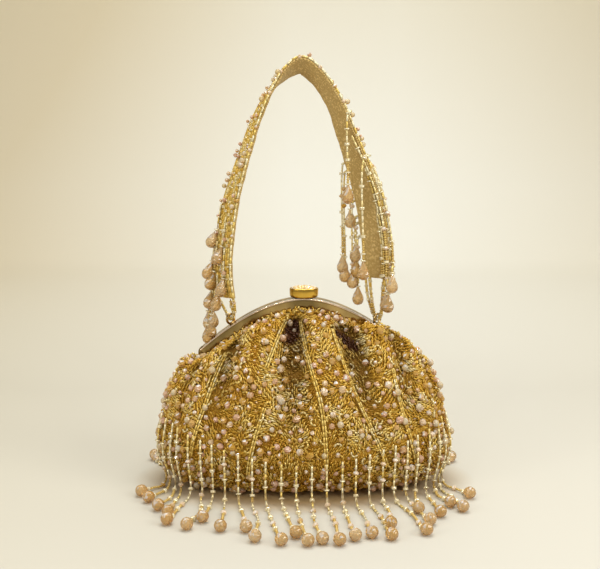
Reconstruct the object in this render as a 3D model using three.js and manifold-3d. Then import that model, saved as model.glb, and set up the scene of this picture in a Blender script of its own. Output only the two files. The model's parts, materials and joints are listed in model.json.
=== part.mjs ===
// A beaded batua: a soft gathered evening pouch on an arched metal frame, with a flip-up
// stone-set clasp, a beaded strap whose strings end in hanging drops, and a long bead fringe
// that falls from the belly and lies on the table.
// Millimetres, +Z up. The pouch stands on its flat base, whose centre is the origin; -Y is the front.
import * as THREE from "three";
import { mergeVertices } from "three/addons/utils/BufferGeometryUtils.js";
import Module from "manifold-3d";

const wasm = await Module();
wasm.setup();

// Clearance between touching pieces
const GAP = 0.3;

// Frame: two arched channels, one behind the other, riveted at their ends
const FRAME = {
  top: 130.2, // height of the arch's highest point
  halfSpan: 71.5, // from the middle to the end of the arch's top edge
  rise: 35.6, // from the ends of the top edge to its highest point
  roundness: 1.8, // below 2 the arch falls sooner beside its middle than a parabola
  depth: 14, // both halves together, front to back
  split: 0.5, // between the two halves
  face: 8, // height of the front and back faces, square to the arch
  faceWall: 1.2,
  lip: 1.4, // thickness of the top
  segments: 18,
};
const HINGE = { ear: 4.6, earWall: 1, bore: 1.5, pin: 1.2, head: 2.4, headWall: 0.7 };
const BAR_SIDES = 8;
// Rings for the strap's loops, each standing in from an end of the frame
const EYELET = { fromEnd: 20.5, ring: 3.3, wire: 0.9, sunk: 0.5, back: 3.4, wireSides: 5, sides: 10 };

// Clasp: a drum set with stones, hinged on a pin behind the frame
const CLASP = {
  width: 19.8,
  depth: 15,
  forward: 0.8, // its middle stands this far in front of the frame's
  foot: 0.86, // foot radius as a share of the full radius
  wall: 6.2, // height of the side
  dome: 1.6, // rise of the stone-set top
  sides: 16,
};
// The drum's outline above its foot; out is a share of its radius, wall and dome of their heights
const CLASP_OUTLINE = [
  { out: 1, wall: 0.4, dome: 0 },
  { out: 1, wall: 1, dome: 0 },
  { out: 0.9, wall: 1, dome: 0.4 },
  { out: 0.55, wall: 1, dome: 0.85 },
  { out: 0, wall: 1, dome: 1 },
];
const CLASP_PIN = {
  radius: 0.9,
  length: 14,
  lugs: 13, // over the two lugs
  behind: 8.4,
  up: 2.1,
  knuckle: 1.8,
  knuckleLength: 9,
  lap: 0.6, // how far the lugs reach over the frame
  sunk: 1.5, // how far the arm and the tongue run into the drum
};
const TONGUE = { width: 5, wall: 1.5, front: 2.4, reach: 2.6, slotSpare: 1.1 };

// Pouch: beaded cloth, its wall counting the cloth and the beads sewn on it
const POUCH = {
  halfWidth: 102.5,
  halfDepth: 53,
  wall: 2.6,
  neckIn: 1.5, // how far the neck's ends lie in from the frame's
  columns: 52,
  neckSquareness: 0.15,
  rimLeaves: 13.5, // from each end of the frame to where the rim starts to dip under the hinge
  rimLow: 5.5, // and to where it is down
  rimStand: 2, // how far the rim stands above the neck beside the hinge
};

// The pouch from its base to just under the frame. up is a share of the column's own height, wide
// and deep say how far the row stands out from the neck, at 0, to the belly, at 1, and pleat and
// puff are shares of each pleat's depth and each shoulder's swell. square squares off the row's
// plan the more the lower it is, and inner marks the rows that the inner skin follows too.
const PROFILE = [
  { up: 0, wide: 0.12, deep: 0.47, square: 0.9, pleat: 0, puff: 0, inner: true },
  { up: 0.03, wide: 0.4, deep: 0.655, square: 0.9, pleat: 0, puff: 0, inner: true },
  { up: 0.1, wide: 0.75, deep: 0.85, square: 0.9, pleat: 0, puff: 0, inner: true },
  { up: 0.21, wide: 0.94, deep: 0.965, square: 0.9, pleat: 0.06, puff: 0, inner: false },
  { up: 0.35, wide: 1, deep: 1, square: 0.9, pleat: 0.16, puff: 0, inner: true },
  { up: 0.5, wide: 0.955, deep: 0.965, square: 0.9, pleat: 0.35, puff: 0, inner: false },
  { up: 0.65, wide: 0.84, deep: 0.86, square: 0.85, pleat: 0.62, puff: 0.15, inner: true },
  { up: 0.78, wide: 0.73, deep: 0.7, square: 0.8, pleat: 0.88, puff: 0.45, inner: true },
  { up: 0.88, wide: 0.575, deep: 0.495, square: 0.7, pleat: 1, puff: 0.85, inner: true },
  { up: 0.955, wide: 0.34, deep: 0.263, square: 0.5, pleat: 0.9, puff: 1, inner: true },
  { up: 0.99, wide: 0.02, deep: 0.038, square: 0.15, pleat: 0, puff: 0, inner: true },
];

// Pleats pressed into the cloth below the frame. at is the angle round the pouch where the pleat
// leaves the frame, with -90 the front; lean is how far it drifts by the belly; half is half its
// angular width; deep is a share of the half depth.
const PLEATS = [
  { at: -150, lean: -4, half: 10, deep: 0.08 },
  { at: -125, lean: -5, half: 10, deep: 0.15 },
  { at: -95, lean: 2, half: 10, deep: 0.23 },
  { at: -70, lean: 14, half: 10, deep: 0.2 },
  { at: -45, lean: 6, half: 10, deep: 0.1 },
  { at: -20, lean: 2, half: 10, deep: 0.07 },
  { at: 20, lean: 2, half: 10, deep: 0.08 },
  { at: 50, lean: -4, half: 10, deep: 0.14 },
  { at: 85, lean: 0, half: 10, deep: 0.2 },
  { at: 115, lean: 4, half: 10, deep: 0.16 },
  { at: 140, lean: 2, half: 10, deep: 0.1 },
  { at: 160, lean: 0, half: 10, deep: 0.07 },
];

// Shoulders where the gathered cloth swells up in front of the frame; lift and out are shares
// of the half depth.
const PUFFS = [
  { at: 0, half: 40, lift: 0.2, out: 0 },
  { at: 180, half: 34, lift: 0.17, out: 0 },
  { at: -48, half: 28, lift: 0.25, out: 0.05 },
  { at: -25, half: 25, lift: 0.12, out: 0.03 },
  { at: -110, half: 18, lift: 0.05, out: 0.02 },
  { at: -82, half: 14, lift: 0.05, out: 0.02 },
  { at: 100, half: 30, lift: 0.06, out: 0.03 },
];

// Strap: a cloth band, with bead strings laid along its outer face
const STRAP = {
  above: 0.3, // from the frame's top to the band's lower ends
  peak: 156, // from the lower ends to the middle of the band at its highest
  fromEnd: 16.5, // from the frame's ends in to the band's
  width: 22,
  cloth: 1.4,
  beads: 2.2,
  beadsWidth: 20.6,
  crown: 0.92, // how wide the outer side of a layer is, as a share of its inner side
  leaves: 0.85, // where strings leave the beading to go over an edge, as a share of its half width
  dropLean: 0.3, // how far the drops on its face lean out from it
  hangOut: 0.25, // how far a string hangs off its face, as a share of its free length
  steps: 40,
};
// String loops that hang the band from the eyelets
const LOOP = {
  sides: 4,
  steps: 10,
  spread: 0.28, // where the loop leaves the band, as a share of its width
  below: 0.9, // how far under the band's end
  apart: 1.3, // between the ring's wire and each side of the loop
  over: 0.75, // height where the sides close in, as a share of the ring
  under: 0.4, // how far the loop's foot lies under the ring's middle
};

// The band's middle line. across is a share of the half spread, rise of the peak's height,
// and turn is how far the band is twisted about its own line, in degrees.
const STRAP_LINE = [
  { across: -1, rise: 0, turn: 46 },
  { across: -1.01, rise: 0.1, turn: 38 },
  { across: -0.985, rise: 0.21, turn: 32 },
  { across: -0.94, rise: 0.315, turn: 29 },
  { across: -0.885, rise: 0.43, turn: 27 },
  { across: -0.795, rise: 0.54, turn: 22 },
  { across: -0.69, rise: 0.65, turn: 17 },
  { across: -0.6, rise: 0.745, turn: 14 },
  { across: -0.48, rise: 0.84, turn: 9 },
  { across: -0.335, rise: 0.92, turn: 0 },
  { across: -0.18, rise: 0.975, turn: -14 },
  { across: -0.03, rise: 1, turn: -25 },
  { across: 0.12, rise: 0.965, turn: -25 },
  { across: 0.26, rise: 0.905, turn: -24 },
  { across: 0.37, rise: 0.84, turn: -25 },
  { across: 0.48, rise: 0.74, turn: -29 },
  { across: 0.58, rise: 0.645, turn: -34 },
  { across: 0.69, rise: 0.54, turn: -41 },
  { across: 0.785, rise: 0.43, turn: -46 },
  { across: 0.85, rise: 0.315, turn: -49 },
  { across: 0.89, rise: 0.21, turn: -49 },
  { across: 0.905, rise: 0.085, turn: -48 },
];

// Bead strings: seed and bugle beads on a thread, with a cut drop at the end
const STRING = { radius: 1.15 };
const DROP = { length: 13.5, radius: 4.1, sides: 5 };
// The drop's outline below its pierced tip, down to its table; along is a share of its length
const DROP_OUTLINE = [
  { along: 0.66, out: 1 },
  { along: 1, out: 0.45 },
];
const DROP_WIDEST = DROP_OUTLINE[0];

// Strings that leave the strap's beading. edge is a string's place across the band, from -1 at the
// back edge to 1 at the front edge. from is the height where it starts, along the length that
// lies on the band, and free the length that hangs clear, as shares of the peak.
const FACE_STRINGS = [
  { from: 0.4, edge: -0.95, along: 0.115, free: 0 },
  { from: 0.355, edge: 0.15, along: 0.13, free: 0 },
  { from: 0.28, edge: -0.95, along: 0.13, free: 0 },
  { from: 0.24, edge: -0.6, along: 0.13, free: 0 },
  { from: 0.22, edge: 0.5, along: 0.13, free: 0 },
  { from: 0.12, edge: -0.9, along: 0.09, free: 0 },
  { from: 0.1, edge: -0.25, along: 0.075, free: 0 },
  { from: 0.02, edge: -0.55, along: 0.013, free: 0.058 },
];
// Strings that go over an edge of the right leg and hang down in front of the cloth's lining.
// over is the edge, and inset how far in from it the string hangs, as a share of the half width.
const EDGE_STRINGS = [
  { from: 0.6, over: -1, inset: 0, free: 0.4 },
  { from: 0.565, over: -1, inset: 0, free: 0.405 },
  { from: 0.48, over: -1, inset: 0, free: 0.077 },
  { from: 0.43, over: -1, inset: 0, free: 0.3 },
  { from: 0.36, over: -1, inset: 0, free: 0.115 },
  { from: 0.33, over: -1, inset: 0, free: 0.155 },
  { from: 0.27, over: -1, inset: 0, free: 0.22 },
  { from: 0.655, over: 1, inset: 0.2, free: 0.167 },
  { from: 0.53, over: 1, inset: 0.2, free: 0.37 },
  { from: 0.14, over: 1, inset: -0.35, free: 0.026 },
];

// Fringe: a tape sewn round the belly, low in the middle and higher at the sides
const FRINGE = { tape: 1.2, tapeHeight: 3.4, low: 27, rise: 26, curve: 1.5, bend: 6, clear: 2 };
// Where each front string hangs, as a share of the half width, and where its drop lies on the
// table, across and forward, as shares of the half width and the half depth.
const FRINGE_STRINGS = [
  { hangs: -0.99, across: -1.07, forward: 0.68 },
  { hangs: -0.955, across: -1.005, forward: 0.905 },
  { hangs: -0.9, across: -0.925, forward: 1.17 },
  { hangs: -0.83, across: -0.85, forward: 1.38 },
  { hangs: -0.75, across: -0.84, forward: 1.62 },
  { hangs: -0.67, across: -0.71, forward: 1.775 },
  { hangs: -0.595, across: -0.625, forward: 1.55 },
  { hangs: -0.51, across: -0.505, forward: 1.83 },
  { hangs: -0.42, across: -0.35, forward: 1.85 },
  { hangs: -0.33, across: -0.29, forward: 2.13 },
  { hangs: -0.245, across: -0.135, forward: 2.225 },
  { hangs: -0.145, across: -0.05, forward: 2.02 },
  { hangs: -0.05, across: 0.02, forward: 2.245 },
  { hangs: 0.05, across: 0.105, forward: 2.19 },
  { hangs: 0.145, across: 0.205, forward: 2.225 },
  { hangs: 0.245, across: 0.3, forward: 2.095 },
  { hangs: 0.33, across: 0.4, forward: 2.02 },
  { hangs: 0.42, across: 0.515, forward: 2.075 },
  { hangs: 0.51, across: 0.525, forward: 1.735 },
  { hangs: 0.585, across: 0.73, forward: 1.925 },
  { hangs: 0.665, across: 0.77, forward: 1.625 },
  { hangs: 0.74, across: 0.72, forward: 1.265 },
  { hangs: 0.82, across: 0.85, forward: 1.38 },
  { hangs: 0.89, across: 0.935, forward: 1.055 },
  { hangs: 0.955, across: 1.005, forward: 1.21 },
  { hangs: 0.99, across: 1.085, forward: 0.755 },
];

const rad = THREE.MathUtils.degToRad;
const point = (x, y, z) => new THREE.Vector3(x, y, z);
const bell = (u) => (Math.abs(u) < 1 ? Math.cos((u * Math.PI) / 2) ** 2 : 0);

// The slope of the arch's top edge, and the height at x of a line that lies in from that edge.
function archSlope(x) {
  const share = Math.abs(x) / FRAME.halfSpan;
  return (-Math.sign(x) * FRAME.roundness * FRAME.rise * share ** (FRAME.roundness - 1)) / FRAME.halfSpan;
}
function archHeight(x, inset = 0) {
  const fall = FRAME.rise * (Math.abs(x) / FRAME.halfSpan) ** FRAME.roundness;
  return FRAME.top - fall - inset * Math.hypot(1, archSlope(x));
}

// A manifold solid from any closed geometry.
function solidOf(geometry) {
  const bare = geometry.index ? geometry.toNonIndexed() : geometry.clone();
  bare.deleteAttribute("normal");
  bare.deleteAttribute("uv");
  const merged = mergeVertices(bare, 1e-4);
  return new wasm.Manifold(
    new wasm.Mesh({
      numProp: 3,
      vertProperties: merged.attributes.position.array,
      triVerts: new Uint32Array(merged.index.array),
    }),
  );
}

// A geometry from a manifold solid.
function geometryOf(solid) {
  const { numProp, vertProperties, triVerts } = solid.getMesh();
  const corners = new Float32Array((vertProperties.length / numProp) * 3);
  for (let i = 0; i < corners.length / 3; i++) {
    corners.set(vertProperties.subarray(i * numProp, i * numProp + 3), i * 3);
  }
  const geometry = new THREE.BufferGeometry();
  geometry.setAttribute("position", new THREE.BufferAttribute(corners, 3));
  geometry.setIndex(new THREE.BufferAttribute(triVerts, 1));
  geometry.computeVertexNormals();
  return geometry;
}

const joined = (solids) => solids.reduce((whole, piece) => whole.add(piece));

// One closed skin through rings of equally many points, each face cut along its shorter diagonal
// and each end closed by a fan.
function loft(rings) {
  const around = rings[0].length;
  const corners = rings.flat();
  const faces = [];
  rings.slice(1).forEach((_, row) => {
    for (let i = 0; i < around; i++) {
      const a = row * around + i;
      const b = row * around + ((i + 1) % around);
      const [c, d] = [b + around, a + around];
      const shorter = corners[a].distanceTo(corners[c]) < corners[b].distanceTo(corners[d]);
      faces.push(...(shorter ? [a, b, c, a, c, d] : [a, b, d, b, c, d]));
    }
  });
  [rings[0], rings.at(-1)].forEach((ring, end) => {
    const hub = corners.length;
    corners.push(ring.reduce((sum, p) => sum.add(p), point(0, 0, 0)).divideScalar(around));
    const first = end ? (rings.length - 1) * around : 0;
    for (let i = 0; i < around; i++) {
      const next = first + ((i + 1) % around);
      faces.push(hub, ...(end ? [first + i, next] : [next, first + i]));
    }
  });
  const geometry = new THREE.BufferGeometry().setFromPoints(corners);
  geometry.setIndex(faces);
  return geometry;
}

// A strand through the points, each with its radius, turned as little as possible on the way.
function strand(stops, sides) {
  const direction = (i) =>
    stops[Math.min(i + 1, stops.length - 1)].place.clone().sub(stops[Math.max(i - 1, 0)].place).normalize();
  const first = direction(0);
  let side = (Math.abs(first.z) < 0.9 ? point(0, 0, 1) : point(0, 1, 0)).cross(first).normalize();
  return solidOf(loft(stops.map(({ place, radius }, i) => {
    const along = direction(i);
    side = side.clone().addScaledVector(along, -side.dot(along)).normalize();
    const other = along.clone().cross(side);
    return Array.from({ length: sides }, (_, corner) => {
      const turn = (2 * Math.PI * (corner + 0.5)) / sides;
      return place.clone()
        .addScaledVector(side, radius * Math.cos(turn))
        .addScaledVector(other, radius * Math.sin(turn));
    });
  })));
}

// A bead string through the points that ends in a cut drop, which lies along a direction.
function stringWithDrop(points, direction) {
  const tip = points.at(-1);
  const string = points.map((place) => ({ place, radius: STRING.radius }));
  const cut = DROP_OUTLINE.map(({ along, out }) => ({
    place: tip.clone().addScaledVector(direction, along * DROP.length),
    radius: out * DROP.radius,
  }));
  return strand([...string, ...cut], DROP.sides);
}

// A plate standing in the XZ plane, from y = front to y = back, cut to the shape.
function plate(shape, front, back) {
  const flat = new THREE.ExtrudeGeometry(shape, { depth: back - front, bevelEnabled: false });
  return solidOf(flat.rotateX(Math.PI / 2).translate(0, back, 0));
}

function box(width, depth, height, x, y, z) {
  return solidOf(new THREE.BoxGeometry(width, depth, height).translate(x, y, z));
}

// A round bar about the X or Y axis, centred on its place.
function bar(axis, radius, length, x, y, z) {
  const cylinder = new THREE.CylinderGeometry(radius, radius, length, BAR_SIDES);
  if (axis === "x") cylinder.rotateZ(Math.PI / 2);
  return solidOf(cylinder.translate(x, y, z));
}

// A point that lies in from the arch's top edge, square to it, as x and height.
function inFromArch(x, inset) {
  const slope = archSlope(x);
  const square = Math.hypot(1, slope);
  return new THREE.Vector2(x + (inset * slope) / square, archHeight(x) - inset / square);
}

// The strip of the arch from its top edge inwards.
function archStrip(inset) {
  const steps = Array.from({ length: FRAME.segments + 1 }, (_, i) => (2 * i) / FRAME.segments - 1);
  const outer = steps.map((step) => inFromArch(step * FRAME.halfSpan, 0));
  const inner = steps.map((step) => inFromArch(step * FRAME.halfSpan, inset));
  return new THREE.Shape([...inner, ...outer.reverse()]);
}

const hinge = inFromArch(FRAME.halfSpan, FRAME.face / 2);
const eyeletAcross = FRAME.halfSpan - EYELET.fromEnd;

// One half of the frame: a face, a top and an ear at each end. side is -1 in front, 1 behind.
function frameHalf(side) {
  const outside = (side * FRAME.depth) / 2;
  const inside = (side * FRAME.split) / 2;
  const strip = (inset, from, to) => plate(archStrip(inset), Math.min(from, to), Math.max(from, to));
  const face = strip(FRAME.face, outside, outside - side * FRAME.faceWall);
  const top = strip(FRAME.lip, outside, inside);
  const earMiddle = inside + (side * HINGE.earWall) / 2;
  const ears = [-1, 1].map((end) => bar("y", HINGE.ear, HINGE.earWall, end * hinge.x, earMiddle, hinge.y));
  const bores = [-1, 1].map((end) => bar("y", HINGE.bore, FRAME.depth, end * hinge.x, earMiddle, hinge.y));
  return joined([face, top, ...ears]).subtract(joined(bores));
}

// The rivet through the two ears at one end, with a head on each side.
function hingeRivet(end) {
  const grip = FRAME.split / 2 + HINGE.earWall + GAP;
  const heads = [-1, 1].map((side) =>
    bar("y", HINGE.head, HINGE.headWall, end * hinge.x, side * (grip + HINGE.headWall / 2), hinge.y),
  );
  return joined([bar("y", HINGE.pin, 2 * grip, end * hinge.x, 0, hinge.y), ...heads]);
}

const pinY = CLASP_PIN.behind;
const pinZ = FRAME.top + CLASP_PIN.up;

// The slot in the front half's top that the clasp's tongue drops through.
function tongueSlot() {
  const deep = TONGUE.wall + 2 * TONGUE.slotSpare;
  const middle = -TONGUE.front + TONGUE.wall / 2 - TONGUE.slotSpare / 2;
  return box(TONGUE.width + 2 * GAP, deep, 4 * FRAME.lip, 0, middle, FRAME.top - FRAME.lip);
}

// The two lugs behind the frame that carry the clasp's pin.
function claspLugs() {
  const wall = (CLASP_PIN.lugs - CLASP_PIN.knuckleLength) / 2 - GAP;
  const height = CLASP_PIN.up + FRAME.lip;
  const [front, back] = [FRAME.depth / 2 - CLASP_PIN.lap, pinY + CLASP_PIN.knuckle];
  return [-1, 1].map((side) => {
    const x = side * (CLASP_PIN.knuckleLength / 2 + GAP + wall / 2);
    const foot = box(wall, back - front, height, x, (front + back) / 2, pinZ - height / 2);
    const ear = bar("x", CLASP_PIN.knuckle, wall, x, pinY, pinZ);
    return foot.add(ear).subtract(bar("x", CLASP_PIN.radius + GAP, FRAME.depth, x, pinY, pinZ));
  });
}

// The pin of the clasp, a plain bar.
const claspPin = () => bar("x", CLASP_PIN.radius, CLASP_PIN.length, 0, pinY, pinZ);

// The clasp's drum with its stone-set dome, its knuckle on the pin and its tongue.
function claspKnob() {
  const radius = CLASP.width / 2;
  const base = FRAME.top + GAP;
  const outline = [
    new THREE.Vector2(0, 0),
    new THREE.Vector2(CLASP.foot * radius, 0),
    ...CLASP_OUTLINE.map(({ out, wall, dome }) =>
      new THREE.Vector2(out * radius, wall * CLASP.wall + dome * CLASP.dome),
    ),
  ];
  const drum = new THREE.LatheGeometry(outline, CLASP.sides).rotateX(Math.PI / 2);
  drum.scale(1, CLASP.depth / CLASP.width, 1).translate(0, -CLASP.forward, base);
  const reach = pinY - CLASP.depth / 2 + CLASP.forward + CLASP_PIN.sunk;
  const arm = box(CLASP_PIN.knuckleLength, reach, 2 * CLASP_PIN.knuckle - GAP, 0, pinY - reach / 2,
    pinZ + GAP / 2);
  const knuckle = bar("x", CLASP_PIN.knuckle, CLASP_PIN.knuckleLength, 0, pinY, pinZ);
  const tongueHeight = TONGUE.reach + CLASP_PIN.sunk;
  const tongue = box(TONGUE.width, TONGUE.wall, tongueHeight, 0, TONGUE.wall / 2 - TONGUE.front,
    base - TONGUE.reach + tongueHeight / 2);
  const bore = bar("x", CLASP_PIN.radius + GAP, FRAME.depth, 0, pinY, pinZ);
  return joined([solidOf(drum), arm, knuckle, tongue]).subtract(bore);
}

const neckHalfWidth = FRAME.halfSpan - POUCH.neckIn;

// Height of the cloth where it goes under the frame's faces, and of its rim inside the frame.
const neckHeight = (x) => archHeight(x, FRAME.face + GAP);
function rimHeight(x) {
  const [leaves, down] = [FRAME.halfSpan - POUCH.rimLeaves, FRAME.halfSpan - POUCH.rimLow];
  const inFrame = archHeight(Math.min(Math.abs(x), leaves), FRAME.lip + GAP);
  const low = THREE.MathUtils.smoothstep(Math.abs(x), leaves, down);
  return THREE.MathUtils.lerp(inFrame, neckHeight(x) + POUCH.rimStand, low);
}

// A point of the pouch's outer skin on one row of the profile, at an angle round it in degrees.
function bodyPoint(row, angle) {
  const c = Math.cos(rad(angle));
  const s = Math.sin(rad(angle));
  const x = THREE.MathUtils.lerp(neckHalfWidth, POUCH.halfWidth, row.wide) * c;
  const halfDepth = THREE.MathUtils.lerp(FRAME.depth / 2, POUCH.halfDepth, row.deep);
  const y = halfDepth * Math.sign(s) * Math.abs(s) ** row.square;
  const normal = point(c / POUCH.halfWidth, s / POUCH.halfDepth, 0).normalize();
  const turned = (at) => THREE.MathUtils.euclideanModulo(angle - at + 180, 360) - 180;
  let out = 0;
  let lift = 0;
  for (const pleat of PLEATS) {
    const at = pleat.at + pleat.lean * (1 - row.up);
    out -= pleat.deep * POUCH.halfDepth * row.pleat * bell(turned(at) / pleat.half);
  }
  for (const puff of PUFFS) {
    const swell = POUCH.halfDepth * row.puff * bell(turned(puff.at) / puff.half);
    out += puff.out * swell;
    lift += puff.lift * swell;
  }
  const height = row.up * neckHeight(neckHalfWidth * c) + lift;
  return point(x + normal.x * out, y + normal.y * out, height);
}

// A point of the neck, where the cloth is held between the two halves of the frame.
function neckPoint(angle, heightAt) {
  const c = Math.cos(rad(angle));
  const s = Math.sin(rad(angle));
  const halfDepth = FRAME.depth / 2 - FRAME.faceWall - GAP;
  const y = halfDepth * Math.sign(s) * Math.abs(s) ** POUCH.neckSquareness;
  return point(neckHalfWidth * c, y, heightAt(neckHalfWidth * c));
}

const columnAngles = Array.from({ length: POUCH.columns }, (_, i) => -180 + (360 * i) / POUCH.columns);

// The pouch's outer skin, as rings from the base to the rim.
function pouchRings() {
  const rings = PROFILE.map((row) => columnAngles.map((angle) => bodyPoint(row, angle)));
  rings.push(columnAngles.map((angle) => neckPoint(angle, neckHeight)));
  rings.push(columnAngles.map((angle) => neckPoint(angle, rimHeight)));
  return rings;
}

// The inner skin: each ring moved in by the wall along the outer skin's normals.
function innerRings(rings) {
  const around = POUCH.columns;
  return rings.map((ring, row) =>
    ring.map((p, i) => {
      const along = ring[(i + 1) % around].clone().sub(ring[(i + around - 1) % around]);
      const above = rings[Math.min(row + 1, rings.length - 1)][i];
      const below = rings[Math.max(row - 1, 0)][i];
      const normal = along.cross(above.clone().sub(below)).normalize();
      if (row === 0 || row === rings.length - 1) normal.setZ(0).normalize();
      const inner = p.clone().addScaledVector(normal, -POUCH.wall);
      if (row === 0) inner.z = POUCH.wall;
      else if (row === rings.length - 1) inner.z = p.z;
      else inner.z = Math.max(inner.z, POUCH.wall + row * GAP);
      return inner;
    }),
  );
}

function pouch() {
  const rings = pouchRings();
  const inner = innerRings(rings).filter((_, row) => row >= PROFILE.length || PROFILE[row].inner);
  return solidOf(loft([...rings, ...inner.reverse()]));
}

const strapFoot = FRAME.top + STRAP.above;
const strapHalfSpread = FRAME.halfSpan - STRAP.fromEnd;
const strapCurve = new THREE.CatmullRomCurve3(
  STRAP_LINE.map(({ across, rise }) => point(across * strapHalfSpread, 0, strapFoot + rise * STRAP.peak)),
  false,
  "centripetal",
);

// The band's place and directions at a share of its line: along it, out of its face, across it.
function strapFrame(at) {
  const share = THREE.MathUtils.clamp(at, 0, 1);
  const slot = strapCurve.getUtoTmapping(share) * (STRAP_LINE.length - 1);
  const first = Math.min(Math.floor(slot), STRAP_LINE.length - 2);
  const turn = rad(THREE.MathUtils.lerp(STRAP_LINE[first].turn, STRAP_LINE[first + 1].turn, slot - first));
  const along = strapCurve.getTangentAt(share);
  const across = point(0, 1, 0).applyAxisAngle(along, turn);
  const out = along.clone().cross(across);
  return { place: strapCurve.getPointAt(share), along, across, out };
}

// A point beside the band: edge from -1 at the back edge to 1 at the front edge, out from its middle.
function onStrap(at, edge, out, width = STRAP.width) {
  const frame = strapFrame(at);
  return frame.place
    .clone()
    .addScaledVector(frame.across, (-edge * width) / 2)
    .addScaledVector(frame.out, out);
}

// A ribbon along part of the strap, between two distances out from the band's middle.
function ribbon(from, to, width, inner, outer) {
  const stations = Array.from({ length: STRAP.steps + 1 }, (_, i) => i / STRAP.steps);
  const between = stations.filter((at) => at > from && at < to);
  const rings = [from, ...between, to].map((at) => {
    return [
      onStrap(at, 1, inner, width), onStrap(at, -1, inner, width),
      onStrap(at, -STRAP.crown, outer, width), onStrap(at, STRAP.crown, outer, width),
    ];
  });
  return solidOf(loft(rings));
}

const strap = () => ribbon(0, 1, STRAP.width, -STRAP.cloth / 2, STRAP.cloth / 2);
const beadsInner = STRAP.cloth / 2 + GAP;
const beadsOuter = beadsInner + STRAP.beads;

// The place along the band where its leg, left (-1) or right (1), has a height.
function placeOnLeg(leg, rise) {
  const height = strapFoot + rise * STRAP.peak;
  let [low, high] = leg < 0 ? [0, 0.5] : [1, 0.5];
  for (let i = 0; i < 20; i++) {
    const middle = (low + high) / 2;
    if (strapCurve.getPointAt(middle).z < height) low = middle;
    else high = middle;
  }
  return low;
}

// A string that follows the band's beading for a way, then hangs to its drop.
function faceString({ from, edge, along, free }) {
  const start = placeOnLeg(-1, from);
  const end = Math.max(start - (along * STRAP.peak) / strapCurve.getLength(), 0);
  const onFace = (at) => onStrap(at, edge, beadsOuter, STRAP.beadsWidth);
  const points = [onFace(start), onFace((start + end) / 2), onFace(end)];
  const { out } = strapFrame(end);
  const down = points[2].clone().sub(points[1]).normalize();
  const clear = free * STRAP.peak;
  if (free > 0) {
    const hang = points[2].clone().addScaledVector(out, STRAP.hangOut * clear);
    points.push(hang.setZ(points[2].z - clear));
  } else down.addScaledVector(out, STRAP.dropLean).normalize();
  return stringWithDrop(points, free > 0 ? point(0, 0, -1) : down);
}

// A string that goes over an edge of the right leg and hangs straight down to its drop.
function edgeString({ from, over, inset, free }) {
  const at = placeOnLeg(1, from);
  const clear = STRAP.cloth / 2 + STRING.radius + 2 * GAP;
  const beside = 1 + (2 * clear) / STRAP.width;
  const inLayer = onStrap(at, over * STRAP.leaves, (beadsInner + beadsOuter) / 2, STRAP.beadsWidth);
  const edge = onStrap(at, over * beside, (beadsInner + beadsOuter) / 2);
  const hang = inset ? onStrap(at, over * (beside - inset), -clear) : onStrap(at, over * beside, 0);
  const tip = hang.clone().setZ(hang.z - free * STRAP.peak);
  return stringWithDrop([inLayer, edge, hang, tip], point(0, 0, -1));
}

// The bead strings on one leg of the strap, left (-1) or right (1), with those that hang from it.
function strapBeads(leg) {
  const margin = GAP / strapCurve.getLength();
  const [from, to] = leg < 0 ? [0, 0.5 - margin] : [0.5 + margin, 1];
  const layer = ribbon(from, to, STRAP.beadsWidth, beadsInner, beadsOuter);
  return joined([layer, ...(leg < 0 ? FACE_STRINGS.map(faceString) : EDGE_STRINGS.map(edgeString))]);
}

// The directions of the loop between the strap and the eyelet at one end.
function loopPlace(end) {
  const foot = strapFrame(end < 0 ? 0 : 1);
  const across = foot.across.clone().setZ(0).normalize();
  const ringZ = archHeight(eyeletAcross) + EYELET.ring + EYELET.wire - EYELET.sunk;
  return { foot, across, ring: point(end * eyeletAcross, EYELET.back, ringZ) };
}

// The ring soldered on the frame's back half that the strap's loop goes through.
function eyelet(end) {
  const { across, ring } = loopPlace(end);
  const torus = new THREE.TorusGeometry(EYELET.ring, EYELET.wire, EYELET.wireSides, EYELET.sides);
  const turn = new THREE.Quaternion().setFromUnitVectors(point(0, 0, 1), across);
  return solidOf(torus.applyQuaternion(turn).translate(ring.x, ring.y, ring.z));
}

// The string loop that hangs the strap's foot from its eyelet.
function strapLoop(end) {
  const { foot, across, ring } = loopPlace(end);
  const side = (share) => {
    const top = foot.place.clone().addScaledVector(across, share * STRAP.width * LOOP.spread);
    top.z -= LOOP.below;
    const beside = ring.clone().addScaledVector(across, share * (2 * EYELET.wire + LOOP.apart));
    beside.z += EYELET.ring * LOOP.over;
    return [top, top.clone().lerp(beside, 0.5), beside];
  };
  const under = ring.clone().setZ(ring.z - LOOP.under);
  const turns = [...side(1), under, ...side(-1).reverse()];
  const route = new THREE.CatmullRomCurve3(turns, false, "centripetal");
  const stops = route.getSpacedPoints(LOOP.steps).map((place) => ({ place, radius: STRING.radius }));
  return strand(stops, LOOP.sides);
}

// The belly's widest ring, where strings fall clear of the cloth, and the fringe's tape on it.
const bellyRow = PROFILE.reduce((widest, row) => (row.wide > widest.wide ? row : widest));
function profileAt(height, angle) {
  const reach = neckHeight(neckHalfWidth * Math.cos(rad(angle)));
  const up = height / reach;
  const next = PROFILE.findIndex((row) => row.up >= up);
  const [a, b] = [PROFILE[next - 1], PROFILE[next]];
  const share = (up - a.up) / (b.up - a.up);
  return bodyPoint(a, angle).lerp(bodyPoint(b, angle), share);
}

// The plan direction straight out from the belly.
const outward = (angle) =>
  point(Math.cos(rad(angle)) / POUCH.halfWidth, Math.sin(rad(angle)) / POUCH.halfDepth, 0).normalize();
const tapeHeight = (angle) => FRINGE.low + FRINGE.rise * Math.abs(Math.cos(rad(angle))) ** FRINGE.curve;

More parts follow.
